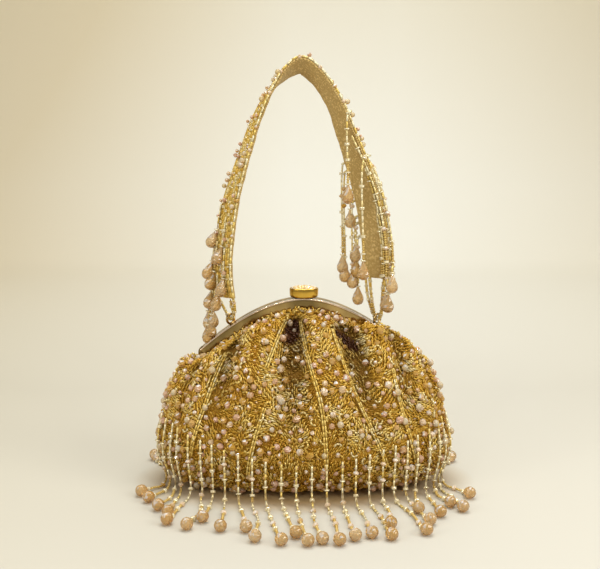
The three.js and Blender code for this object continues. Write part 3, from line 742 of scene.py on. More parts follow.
class Stringer:
    """Strings beads along routes."""

    def __init__(self, pile: BeadPile, seed: int, style: StringStyle | None = None) -> None:
        """Works on one pile."""
        self.pile = pile
        self.rng = np.random.default_rng(seed)
        self.style = style or StringStyle()

    def order(self, length: float) -> list[tuple[Bead, float, float]]:
        """The beads of a string, each with its length and radius, that fill a length."""
        style, rng = self.style, self.rng
        beads: list[tuple[Bead, float, float]] = []
        used = 0.0

        def thread(bead: Bead, size: Pair) -> None:
            """Puts one bead on the string."""
            nonlocal used
            beads.append((bead, *size))
            used += size[0] + style.space

        while used < length:
            seeds = used > style.seeds_from * length
            for _ in range(rng.integers(2, style.run + 1)):
                thread(*((Bead.SEED, style.seed) if seeds else (Bead.BUGLE, style.bugle)))
                if seeds:
                    thread(Bead.SEED, style.seed)
            if rng.random() < style.cut:
                thread(Bead.CRYSTAL, style.crystal)
            else:
                for _ in range(rng.integers(1, 3)):
                    thread(Bead.DISC, style.disc)
        return beads

    def string(self, route: Array, tone: float = 0.96) -> None:
        """Strings beads along the whole of a route.

        Args:
            route: the points of the string's line.
            tone: the middle of their tones.
        """
        line, style = Route(route), self.style
        beads = self.order(line.length)
        lengths = np.array([length for _, length, _ in beads]) + style.space
        middles = np.cumsum(lengths) - lengths / 2
        fits = middles + lengths / 2 <= line.length
        places, headings = line.at(middles), line.heading(middles)
        tones = np.clip(self.rng.normal(tone, style.spread, len(beads)), 0, 1)
        side = np.where(np.abs(headings[:, 2:3]) < 0.9, (0.0, 0.0, 1.0), (0.0, 1.0, 0.0))
        for bead in (Bead.BUGLE, Bead.SEED, Bead.DISC, Bead.CRYSTAL):
            mine = np.array([kind is bead for kind, _, _ in beads]) & fits
            if mine.any():
                size = np.array([row[1:] for row in beads])[mine].T
                lowered = tones[mine] - (style.seed_tone if bead is Bead.SEED else 0)
                self.pile.add(bead, places[mine], headings[mine], side[mine], *size, lowered)
        self.thread(line)

    def thread(self, line: Route) -> None:
        """The thread that the beads are on."""
        stations = np.linspace(0, line.length, max(int(line.length / self.style.thread_step), 3))
        ends = line.at(stations)
        along, middles = np.diff(ends, axis=0), (ends[1:] + ends[:-1]) / 2
        lengths = np.linalg.norm(along, axis=1)
        self.pile.add(Bead.THREAD, middles, along, (0.3, 0.5, 0.8), lengths, self.style.thread)

    def drop(self, tip: Array, direction: Array) -> None:
        """A cut drop that hangs from a tip in a direction, with a cap over its hole."""
        direction = unit(np.asarray(direction, float))
        length, radius = self.style.drop
        tone = float(self.rng.random() * 0.7)
        side = unit(np.array([0.3, 0.2, 0.9]) + self.rng.normal(0, 0.3, 3))
        self.pile.add(Bead.DROP, tip + direction * length / 2, direction, side, length, radius, tone)
        cap = tip + direction * self.style.disc[0] / 2
        self.pile.add(Bead.DISC, cap, direction, side, *self.style.disc, 0.9)

    def with_drop(self, points: Array, direction: Array) -> None:
        """A string through a few points that ends in a drop."""
        self.string(curve_through(points))
        self.drop(points[-1], direction)


# Frame


@dataclass(frozen=True)
class Arch:
    """The curve of the frame's top edge."""

    top: float = 130.2
    half_span: float = 71.5
    rise: float = 35.6
    roundness: float = 1.8

    def slope(self, x: Number) -> Array:
        """The slope of the top edge."""
        share = np.abs(x) / self.half_span
        return -np.sign(x) * self.roundness * self.rise * share ** (self.roundness - 1) / self.half_span

    def height(self, x: Number, inset: float = 0.0) -> Array:
        """The height at x of a line that lies in from the top edge."""
        fall = self.rise * (np.abs(x) / self.half_span) ** self.roundness
        return self.top - fall - inset * np.hypot(1, self.slope(x))

    def inward(self, x: Number, inset: Number) -> tuple[Array, Array]:
        """A point that lies in from the top edge, square to it, as x and height."""
        slope = self.slope(x)
        square = np.hypot(1, slope)
        return x + inset * slope / square, self.height(x) - inset / square


class Bench:
    """A piece on the bench: a primitive that is worked with Blender's own operators, in millimetres."""

    corner_angle = 35.0
    smooth_angle = 40.0
    merged = 1e-4

    def __init__(self, name: str) -> None:
        """Takes the new primitive, with its size and place applied."""
        self.piece = bpy.context.object
        self.piece.name = self.piece.data.name = name
        bpy.ops.object.transform_apply(location=True, rotation=True, scale=True)

    @staticmethod
    def clear() -> None:
        """Selects nothing."""
        bpy.ops.object.select_all(action="DESELECT")

    @classmethod
    def box(cls, name: str, size: Triple, centre: Triple) -> Bench:
        """A box."""
        cls.clear()
        bpy.ops.mesh.primitive_cube_add(size=1, location=centre)
        bpy.context.object.scale = size
        return cls(name)

    @classmethod
    def disc(cls, name: str, radius: float, sides: int) -> Bench:
        """A flat round face about the Z axis."""
        cls.clear()
        bpy.ops.mesh.primitive_circle_add(vertices=sides, radius=radius, fill_type="NGON")
        return cls(name)

    @classmethod
    def bar(cls, name: str, radius: float, length: float, centre: Triple, axis: str, sides: int = 32) -> Bench:
        """A round bar about the X or Y axis."""
        cls.clear()
        turn = (0.0, math.pi / 2, 0.0) if axis == "x" else (math.pi / 2, 0.0, 0.0)
        size = {"vertices": sides, "radius": radius, "depth": length}
        bpy.ops.mesh.primitive_cylinder_add(location=centre, rotation=turn, **size)
        return cls(name)

    @classmethod
    def ring(cls, name: str, radius: float, wire: float, centre: Triple, across: Vector) -> Bench:
        """A round ring whose axis is across."""
        cls.clear()
        turn = Vector((0, 0, 1)).rotation_difference(across).to_euler()
        size = {"major_radius": radius, "minor_radius": wire, "major_segments": 40, "minor_segments": 12}
        bpy.ops.mesh.primitive_torus_add(location=centre, rotation=turn, **size)
        return cls(name)

    def _take(self) -> None:
        """Leaves edit mode and makes this the one piece selected."""
        if bpy.context.object is not None and bpy.context.object.mode == "EDIT":
            bpy.ops.object.mode_set(mode="OBJECT")
        self.clear()
        self.piece.select_set(True)
        bpy.context.view_layer.objects.active = self.piece

    def _edit(self, action: str) -> None:
        """Goes to edit mode on this piece alone, with all of it selected or none."""
        self._take()
        bpy.ops.object.mode_set(mode="EDIT")
        bpy.ops.mesh.select_all(action=action)

    def pick(self, kind: str, test: Callable[[Vector, Vector], bool]) -> None:
        """Goes to edit mode with what passes a test selected.

        Args:
            kind: FACE, tested by its centre and normal, or EDGE, tested by its two ends.
            test: the test.
        """
        self._edit("DESELECT")
        bpy.ops.mesh.select_mode(type=kind)
        bpy.ops.mesh.select_all(action="DESELECT")
        bpy.ops.object.mode_set(mode="OBJECT")
        mesh = self.piece.data
        for face in mesh.polygons if kind == "FACE" else ():
            face.select = bool(test(face.center, face.normal))
        for edge in mesh.edges if kind == "EDGE" else ():
            edge.select = bool(test(*(mesh.vertices[corner].co for corner in edge.vertices)))
        bpy.ops.object.mode_set(mode="EDIT")

    def cut(self, place: Triple, normal: Triple) -> None:
        """Cuts new edges where a plane crosses the piece."""
        self._edit("SELECT")
        bpy.ops.mesh.bisect(plane_co=place, plane_no=normal)

    def subdivide(self, cuts: int) -> None:
        """Cuts the selected edges."""
        bpy.ops.mesh.subdivide(number_cuts=cuts)

    def extrude(self, way: Triple, scale: Triple = (1.0, 1.0, 1.0)) -> None:
        """Pulls the selected faces out, and scales what was pulled about the Z axis."""
        bpy.ops.mesh.extrude_region_move(TRANSFORM_OT_translate={"value": way})
        bpy.ops.transform.resize(value=scale, center_override=(0, 0, 0))

    def carry(self, move: Callable[[Array], Array]) -> Bench:
        """Carries every corner to a new place."""
        self._take()
        mesh = self.piece.data
        corners = np.empty(len(mesh.vertices) * 3, np.float32)
        mesh.vertices.foreach_get("co", corners)
        moved = move(corners.reshape(-1, 3).astype(float))
        mesh.vertices.foreach_set("co", moved.astype(np.float32).ravel())
        mesh.update()
        return self

    def soften(self, width: float, segments: int = 3) -> Bench:
        """Rounds the sharp edges."""
        self._take()
        bevel = self.piece.modifiers.new("edge", "BEVEL")
        bevel.width = width
        bevel.segments = segments
        bevel.limit_method = "ANGLE"
        bevel.angle_limit = math.radians(self.corner_angle)
        bevel.harden_normals = False
        bpy.ops.object.modifier_apply(modifier=bevel.name)
        return self

    @classmethod
    def joined(cls, name: str, benches: Sequence[Bench], material: Material) -> Piece:
        """Joins pieces into one, in metres, with its faces outwards and its round parts smooth.

        Args:
            name: the piece's name.
            benches: the pieces.
            material: their finish.

        Returns:
            The object.
        """
        whole = benches[0]
        whole._take()
        for bench in benches:
            bench.piece.select_set(True)
        if len(benches) > 1:
            bpy.ops.object.join()
        whole._edit("SELECT")
        bpy.ops.mesh.remove_doubles(threshold=cls.merged)
        bpy.ops.mesh.normals_make_consistent(inside=False)
        bpy.ops.object.mode_set(mode="OBJECT")
        bpy.ops.object.shade_smooth_by_angle(angle=math.radians(cls.smooth_angle))
        piece = whole.piece
        piece.name = piece.data.name = name
        piece.data.transform(Matrix.Scale(MM, 4))
        wear(piece, material)
        cls.clear()
        return piece


@dataclass
class GiltFrame:
    """The two arched channels, the lugs and the rings soldered on them."""

    palette: Palette
    arch: Arch
    depth: float = 14.0
    split: float = 0.5
    face: float = 8.0
    face_wall: float = 1.2
    lip: float = 1.4
    ear: float = 4.6
    ear_wall: float = 1.0
    rim: float = 1.1
    rim_stand: float = 0.35
    rim_up: float = 0.25
    cuts: int = 80
    ring: float = 3.3
    wire: float = 0.9
    ring_from_end: float = 20.5
    ring_back: float = 3.4
    ring_sunk: float = 0.5
    channel_edge: float = 0.45
    ear_edge: float = 0.2
    rim_edge: float = 0.4
    lug_edge: float = 0.15

    def bend(self, corners: Array) -> Array:
        """Carries a straight bar onto the arch: its height becomes the distance in from the top."""
        x, height = self.arch.inward(corners[:, 0], -corners[:, 2])
        return np.stack([x, corners[:, 1], height], axis=1)

    def _strip(self, name: str, front: float, back: float, high: float, low: float) -> Bench:
        """A straight bar along the arch, cut across so that it can bend."""
        size = (2 * self.arch.half_span, back - front, high - low)
        bar = Bench.box(name, size, (0, (front + back) / 2, (high + low) / 2))
        bar.pick("EDGE", lambda a, b: abs(a.x - b.x) > self.arch.half_span)
        bar.subdivide(self.cuts)
        return bar

    def channel(self, side: int) -> Bench:
        """One half: its top, with the face pulled down from it. side is -1 in front."""
        outside, inside = side * self.depth / 2, side * self.split / 2
        half = self._strip(f"channel {side}", min(outside, inside), max(outside, inside), 0, -self.lip)
        wall = outside - side * self.face_wall
        half.cut((0, wall, 0), (0, 1, 0))
        half.pick("FACE", lambda centre, normal: normal.z < -0.9 and side * (centre.y - wall) > 0)
        half.extrude((0, 0, self.lip - self.face))
        return half.carry(self.bend).soften(self.channel_edge)

    def ears(self, side: int) -> list[Bench]:
        """The round ends that the rivets join."""
        x, z = self.arch.inward(self.arch.half_span, self.face / 2)
        y = side * (self.split + self.ear_wall) / 2
        made = []
        for end in (-1, 1):
            ear = Bench.bar(f"ear {end}", self.ear, self.ear_wall, (end * x, y, z), "y", 48)
            made.append(ear.soften(self.ear_edge, 2))
        return made

    def rim_wire(self) -> Bench:
        """The wire along the front of the top edge, the frame's rolled lip, in a paler gilt as a painted
        highlight.
        """
        front = -self.depth / 2 - self.rim_stand
        wire = self._strip("rim wire", front, front + self.rim, self.rim_up, self.rim_up - self.rim)
        return wire.carry(self.bend).soften(self.rim_edge, 4)

    def lugs(self, clasp: Clasp) -> list[Bench]:
        """The two lugs that carry the clasp's pin."""
        wall = (clasp.lugs - clasp.knuckle_length) / 2 - GAP
        height = clasp.pin_up + self.lip
        front, back = self.depth / 2 - clasp.lap, clasp.pin_behind + clasp.knuckle
        top = self.arch.top + clasp.pin_up
        made = []
        for side in (-1, 1):
            x = side * (clasp.knuckle_length / 2 + GAP + wall / 2)
            foot = (x, (front + back) / 2, top - height / 2)
            made.append(Bench.box(f"lug {side}", (wall, back - front, height), foot).soften(self.lug_edge, 2))
            made.append(Bench.bar(f"lug eye {side}", clasp.knuckle, wall, (x, clasp.pin_behind, top), "x"))
        return made

    def rings(self, strap: StrapForm) -> list[Bench]:
        """The rings for the strap's loops."""
        made = []
        for end in (-1, 1):
            across, place = strap.ring_place(end, self)
            made.append(Bench.ring(f"ring {end}", self.ring, self.wire, tuple(place), Vector(across)))
        return made

    def build(self, clasp: Clasp, strap: StrapForm) -> None:
        """Makes the two halves and the bright wire."""
        front = Bench.joined("frame_front_gilt", [self.channel(-1), *self.ears(-1)], self.palette.gilt)
        dress(front, ["frame_front"])
        dress(Bench.joined("frame_rim_wire", [self.rim_wire()], self.palette.rim))
        rear = [self.channel(1), *self.ears(1), *self.lugs(clasp), *self.rings(strap)]
        dress(Bench.joined("frame_back_gilt", rear, self.palette.gilt), ["frame_back"])


@dataclass
class Clasp:
    """The drum with a dome of stones that turns up on its pin."""

    palette: Palette
    arch: Arch
    width: float = 19.8
    depth: float = 15.0
    forward: float = 0.8
    foot: float = 0.86
    wall: float = 6.2
    # The wall from its foot to inside the rim: shares of the radius and of the wall's height
    profile: tuple[Pair, ...] = ((0.96, 0.12), (1.0, 0.4), (1.0, 1.0), (0.95, 1.06), (0.9, 1.0))
    sides: int = 72
    drum_edge: float = 0.12
    arm_edge: float = 0.3
    tongue_edge: float = 0.2
    pin_behind: float = 8.4
    pin_up: float = 2.1
    pin_sunk: float = 1.5
    knuckle: float = 1.8
    knuckle_length: float = 9.0
    lugs: float = 13.0
    lap: float = 0.6
    tongue: Triple = (5.0, 1.5, 4.1)
    tongue_front: float = 2.4
    dome: float = 1.6
    stone: float = 1.05
    stone_length: float = 1.4
    stone_sunk: float = 0.35
    stone_tilt: float = 0.4
    uneven: float = 0.12
    rings: tuple[Pair, ...] = ((0.0, 1), (0.17, 6), (0.34, 12), (0.51, 18), (0.68, 24), (0.85, 30))

    @property
    def base(self) -> float:
        """The height of the drum's foot."""
        return self.arch.top + GAP

    def drum(self) -> Bench:
        """The drum's wall, from its narrow foot to the rim round the stones."""
        body = Bench.disc("drum", self.foot * self.width / 2, self.sides)
        body.pick("FACE", lambda centre, normal: True)
        out, up = self.foot, 0.0
        for wide, high in self.profile:
            body.extrude((0, 0, (high - up) * self.wall), (wide / out, wide / out, 1))
            out, up = wide, high
        squeeze = (1, self.depth / self.width, 1)
        return body.carry(lambda p: p * squeeze + (0, -self.forward, self.base)).soften(self.drum_edge, 2)

    def hinge(self) -> list[Bench]:
        """The arm and knuckle behind, and the tongue that catches in the frame."""
        pin_z = self.arch.top + self.pin_up
        reach = self.pin_behind - self.depth / 2 + self.forward + self.pin_sunk
        arm_size = (self.knuckle_length, reach, 2 * self.knuckle - GAP)
        arm = Bench.box("arm", arm_size, (0, self.pin_behind - reach / 2, pin_z + GAP / 2))
        arm.soften(self.arm_edge, 2)
        eye = Bench.bar("knuckle", self.knuckle, self.knuckle_length, (0, self.pin_behind, pin_z), "x")
        _, thick, high = self.tongue
        middle = (0, thick / 2 - self.tongue_front, self.base - high + self.pin_sunk + high / 2)
        return [arm, eye, Bench.box("tongue", self.tongue, middle).soften(self.tongue_edge, 2)]

    def stones(self) -> Piece:
        """The dome paved with small cut stones, on its bed."""
        pile = BeadPile(self.palette)
        rng = np.random.default_rng(3)
        radius = self.width / 2 * self.profile[-1][0]
        for share, count in self.rings:
            turn = (np.arange(count) + rng.random()) * 2 * np.pi / count
            x = share * radius * np.cos(turn)
            y = share * radius * self.depth / self.width * np.sin(turn) - self.forward
            height = self.base + self.wall + self.dome * (1 - share**2) - self.stone_sunk
            z = height + rng.normal(0, self.uneven, count)
            across, back = (part / radius * self.stone_tilt for part in (x, y))
            tilt = np.stack([across, back, np.ones(count)], axis=1) + rng.normal(0, self.uneven, (count, 3))
            wide = self.stone * rng.uniform(0.85, 1.1, count)
            size = self.stone_length * wide, wide
            pile.add(Bead.CRYSTAL, np.stack([x, y, z], axis=1), tilt, (1, 0.2, 0), *size, rng.random(count))
        piece = pile.joined("clasp_stones_dome", 8)
        wear(piece, self.palette.stones)
        return piece

    def build(self) -> None:
        """Makes the drum with its hinge, and the stones on it."""
        metal = Bench.joined("clasp_drum", [self.drum(), *self.hinge()], self.palette.drum)
        dress(metal, ["clasp_knob"], "clasp")
        dress(self.stones(), body="clasp")


# Pouch


@dataclass(frozen=True)
class Row:
    """A level of the pouch: shares of its height, width, depth, pleats and shoulders."""

    up: float
    wide: float
    deep: float
    square: float
    pleat: float
    puff: float


@dataclass(frozen=True)
class Pleat:
    """A fold pressed into the cloth: angle and drift in degrees, depth as a share."""

    at: float
    lean: float
    deep: float


@dataclass(frozen=True)
class Puff:
    """A shoulder where the cloth swells: angle, half width in degrees, lift and swell as shares."""

    at: float
    half: float
    lift: float
    out: float


ROWS = (
    Row(0, 0.12, 0.47, 0.9, 0, 0), Row(0.03, 0.4, 0.655, 0.9, 0, 0), Row(0.1, 0.75, 0.85, 0.9, 0, 0),
    Row(0.21, 0.94, 0.965, 0.9, 0.06, 0), Row(0.35, 1, 1, 0.9, 0.16, 0),
    Row(0.5, 0.955, 0.965, 0.9, 0.35, 0), Row(0.65, 0.84, 0.86, 0.85, 0.62, 0.15),
    Row(0.78, 0.73, 0.7, 0.8, 0.88, 0.45), Row(0.88, 0.575, 0.495, 0.7, 1, 0.85),
    Row(0.955, 0.34, 0.263, 0.5, 0.9, 1), Row(0.99, 0.02, 0.038, 0.15, 0, 0),
)
# Half the width of every pleat, in degrees
PLEAT_HALF = 10
PLEATS = (
    Pleat(-150, -4, 0.08), Pleat(-125, -5, 0.15), Pleat(-95, 2, 0.23), Pleat(-70, 14, 0.2),
    Pleat(-45, 6, 0.1), Pleat(-20, 2, 0.07), Pleat(20, 2, 0.08), Pleat(50, -4, 0.14), Pleat(85, 0, 0.2),
    Pleat(115, 4, 0.16), Pleat(140, 2, 0.1), Pleat(160, 0, 0.07),
)
PUFFS = (
    Puff(0, 40, 0.12, 0), Puff(180, 34, 0.11, 0), Puff(-48, 28, 0.25, 0.05), Puff(-25, 25, 0.12, 0.03),
    Puff(-110, 18, 0.05, 0.02), Puff(-82, 14, 0.05, 0.02), Puff(100, 30, 0.06, 0.03),
)


@dataclass(frozen=True)
class Pit:
    """A hollow at the head of a fold, painted dark as shade: its middle and its half sizes, as angle and
    height.
    """

    at: float
    up: float
    half: float
    tall: float
    lean: float


PITS = (
    Pit(-95.5, 0.9, 4.3, 0.085, -8), Pit(-70, 0.885, 4.5, 0.075, 70), Pit(86, 0.88, 5, 0.08, 0),
    Pit(115, 0.88, 4, 0.06, 0),
)


@dataclass(frozen=True)
class Ground:
    """Places on the pouch's skin, with the directions there."""

    place: Array
    normal: Array
    around: Array
    upward: Array
    per_degree: Array
    per_up: Array


@dataclass(frozen=True)
class PouchForm:
    """The pouch's outer skin, which the tops of its beads follow."""

    arch: Arch
    half_width: float = 102.5
    half_depth: float = 53.0
    neck_in: float = 1.5
    neck_square: float = 0.15
    frame_depth: float = 14.0
    frame_face: float = 8.0
    frame_lip: float = 1.4
    frame_wall: float = 1.2
    rim_leaves: float = 13.5
    rim_low: float = 5.5
    rim_stand: float = 2.0
    # How far the cloth lies under the skin, and the shares of the height near the neck where it rises to it
    under: float = 2.6
    top: float = 0.99
    closes: float = 0.08
    # Painted shade: how deep a pleat is for its full shade, and how dark that is; where a pit's painted shade
    # starts to fade, and how fast
    deep_fold: float = 8.0
    fold_shade_strength: float = 0.58
    pit_core: float = 0.62
    pit_fade: float = 0.5
    # Steps for the directions on the skin: degrees, and a share of the height
    turn_step: float = 0.4
    rise_step: float = 0.004

    @property
    def neck(self) -> float:
        """Half the neck's width."""
        return self.arch.half_span - self.neck_in

    def column(self, word: str, up: Array) -> Array:
        """One column of the rows' table, read at heights."""
        return smooth_through(up, [row.up for row in ROWS], [getattr(row, word) for row in ROWS])

    def neck_height(self, x: Array) -> Array:
        """Where the cloth goes in under the frame's faces."""
        return self.arch.height(x, self.frame_face + GAP)

    def fold(self, angle: Array, up: Array) -> Array:
        """How deep the pleats press the cloth in, in millimetres."""
        deep = np.zeros(np.broadcast(angle, up).shape)
        for pleat in PLEATS:
            at = pleat.at + pleat.lean * (1 - up)
            deep = deep + pleat.deep * self.half_depth * bell(turned(angle, at) / PLEAT_HALF)
        return deep * np.clip(self.column("pleat", up), 0, None)

    def inset(self, up: Array) -> Array:
        """How far the cloth lies under the skin, which leaves room for the beads."""
        return self.under * np.clip((self.top - up) / self.closes, 0.1, 1)

    def fold_shade(self, angle: Array, up: Array) -> Array:
        """The painted shade in the folds: part dark in every pleat and wholly in the pits, from 0 to 1."""
        dark = self.fold_shade_strength * np.clip(self.fold(angle, up) / self.deep_fold, 0, 1) ** 1.5
        for pit in PITS:
            across = turned(angle, pit.at + pit.lean * (pit.up - up)) / pit.half
            far = np.hypot(across, (up - pit.up) / pit.tall)
            dark = np.maximum(dark, 1 - np.clip((far - self.pit_core) / self.pit_fade, 0, 1))
        return dark

    def skin(self, angle: Array, up: Array) -> Array:
        """Places on the skin.

        Args:
            angle: round the pouch in degrees, with -90 the front.
            up: the share of the height there.

        Returns:
            The places, with a last axis of three.
        """
        c, s = np.cos(np.radians(angle)), np.sin(np.radians(angle))
        wide = mix(self.neck, self.half_width, self.column("wide", up))
        deep = mix(self.frame_depth / 2, self.half_depth, self.column("deep", up))
        square = self.column("square", up)
        out = -self.fold(angle, up)
        lift = np.zeros(np.broadcast(angle, up).shape)
        puffed = np.clip(self.column("puff", up), 0, None)
        for puff in PUFFS:
            swell = self.half_depth * puffed * bell(turned(angle, puff.at) / puff.half)
            out = out + puff.out * swell
            lift = lift + puff.lift * swell
        facing = unit(np.stack([c / self.half_width, s / self.half_depth], axis=-1))
        x = wide * c + facing[..., 0] * out
        y = deep * np.sign(s) * np.abs(s) ** square + facing[..., 1] * out
        z = up * self.neck_height(self.neck * c) + lift
        return np.stack(np.broadcast_arrays(x, y, z), axis=-1)

    def ground(self, angle: Array, up: Array) -> Ground:
        """The skin's places and directions."""
        step = self.turn_step
        east = self.skin(angle + step, up) - self.skin(angle - step, up)
        above, below = (np.clip(up + rise, 0, self.top) for rise in (self.rise_step, -self.rise_step))
        north = self.skin(angle, above) - self.skin(angle, below)
        normal, around = unit(np.cross(east, north)), unit(east)
        upward = unit(np.cross(normal, around))
        per_degree = np.linalg.norm(east, axis=-1) / (2 * step)
        per_up = np.linalg.norm(north, axis=-1) / np.maximum(above - below, TINY)
        return Ground(self.skin(angle, up), normal, around, upward, per_degree, per_up)

    def neck_ring(self, angle: Array, rim: bool) -> Array:
        """The cloth where it is held between the frame's halves, or its rim inside them."""
        c, s = np.cos(np.radians(angle)), np.sin(np.radians(angle))
        half = self.frame_depth / 2 - self.frame_wall - GAP
        x = self.neck * c
        z = self.neck_height(x)
        if rim:
            leaves, down = self.arch.half_span - self.rim_leaves, self.arch.half_span - self.rim_low
            inside = self.arch.height(np.minimum(np.abs(x), leaves), self.frame_lip + GAP)
            t = np.clip((np.abs(x) - leaves) / (down - leaves), 0, 1)
            z = mix(inside, z + self.rim_stand, t * t * (3 - 2 * t))
        return np.stack([x, half * np.sign(s) * np.abs(s) ** self.neck_square, z], axis=-1)


@dataclass
class PouchCloth:
    """The pouch's cloth, under the beads."""

    palette: Palette
    form: PouchForm
    thick: float = 0.9
    flat: Pair = (0.50, 0.15)
    columns: int = 300
    levels: int = 74
    base: float = 0.3
    # Half the depth of the neck inside the frame, and the painted shade on the cloth there
    neck_deep: float = 5.5
    neck_shade: float = 0.5

    def build(self) -> None:
        """Makes the cloth as one closed wall, with its mouth inside the frame."""
        angle = np.linspace(-180, 180, self.columns, endpoint=False)[None]
        up = np.linspace(0, self.form.top, self.levels)[:, None]
        ground = self.form.ground(angle, up)
        outer = ground.place - ground.normal * self.form.inset(up)[..., None]
        outer[0, :, 2] = self.base
        outer[..., 2] = np.maximum(outer[..., 2], self.base)
        inner = outer - ground.normal * self.thick
        inner[..., 2] = np.maximum(inner[..., 2], self.base + self.thick)
        neck, rim = self.form.neck_ring(angle, False), self.form.neck_ring(angle, True)
        narrow = np.array([1.0, 1 - self.thick / self.neck_deep, 1.0])
        rings = np.vstack([outer, neck, rim, rim * narrow, neck * narrow, inner[::-1]])
        # The cloth's painted shade: in the folds and pits, and inside the frame.
        fold = self.form.fold_shade(angle, up)
        shares = np.vstack([fold, np.full((4, self.columns), self.neck_shade), fold[::-1]])
        folds = np.repeat(shares[..., None], 3, axis=2)
        cloth = lofted("pouch_cloth", rings, self.palette.backing, "fold", folds)
        dress(cloth, ["pouch"])


# Lines where two rows of bugles follow a fold's edge, as angle and height
FOLD_ROWS = (
    ((-92, 0.95), (-90, 0.85), (-87, 0.72), (-83, 0.5), (-81.5, 0.2)),
    ((-77, 0.93), (-74, 0.8), (-70, 0.65), (-63, 0.42), (-56, 0.2)),
    ((-105, 0.55), (-108, 0.4), (-112, 0.17)),
    ((-99, 0.96), (-102, 0.87), (-105, 0.76)),
    ((-51, 0.78), (-47.5, 0.5), (-40, 0.17)),
    ((-129, 0.9), (-133, 0.6), (-138, 0.3)),
    ((80, 0.93), (84, 0.7), (86, 0.45), (85, 0.2)),
    ((110, 0.93), (114, 0.7), (119, 0.4)),
    ((52, 0.9), (49, 0.6), (44, 0.25)),
    ((144, 0.85), (149, 0.5), (152, 0.2)),
)


@dataclass(frozen=True)
class Layer:
    """A layer of bugles laid in patches.

    Args:
        patch: how far apart the patches' middles are.
        apart: how far apart the rows of a patch are.
        lift: how high the bugles lie over the cloth's own layer.
        kept: the share of the patches that are worked.
        tone: the middle of their tones.
        tries: how many patches are tried.
    """

    patch: float
    apart: float
    lift: float
    kept: float
    tone: float
    tries: int


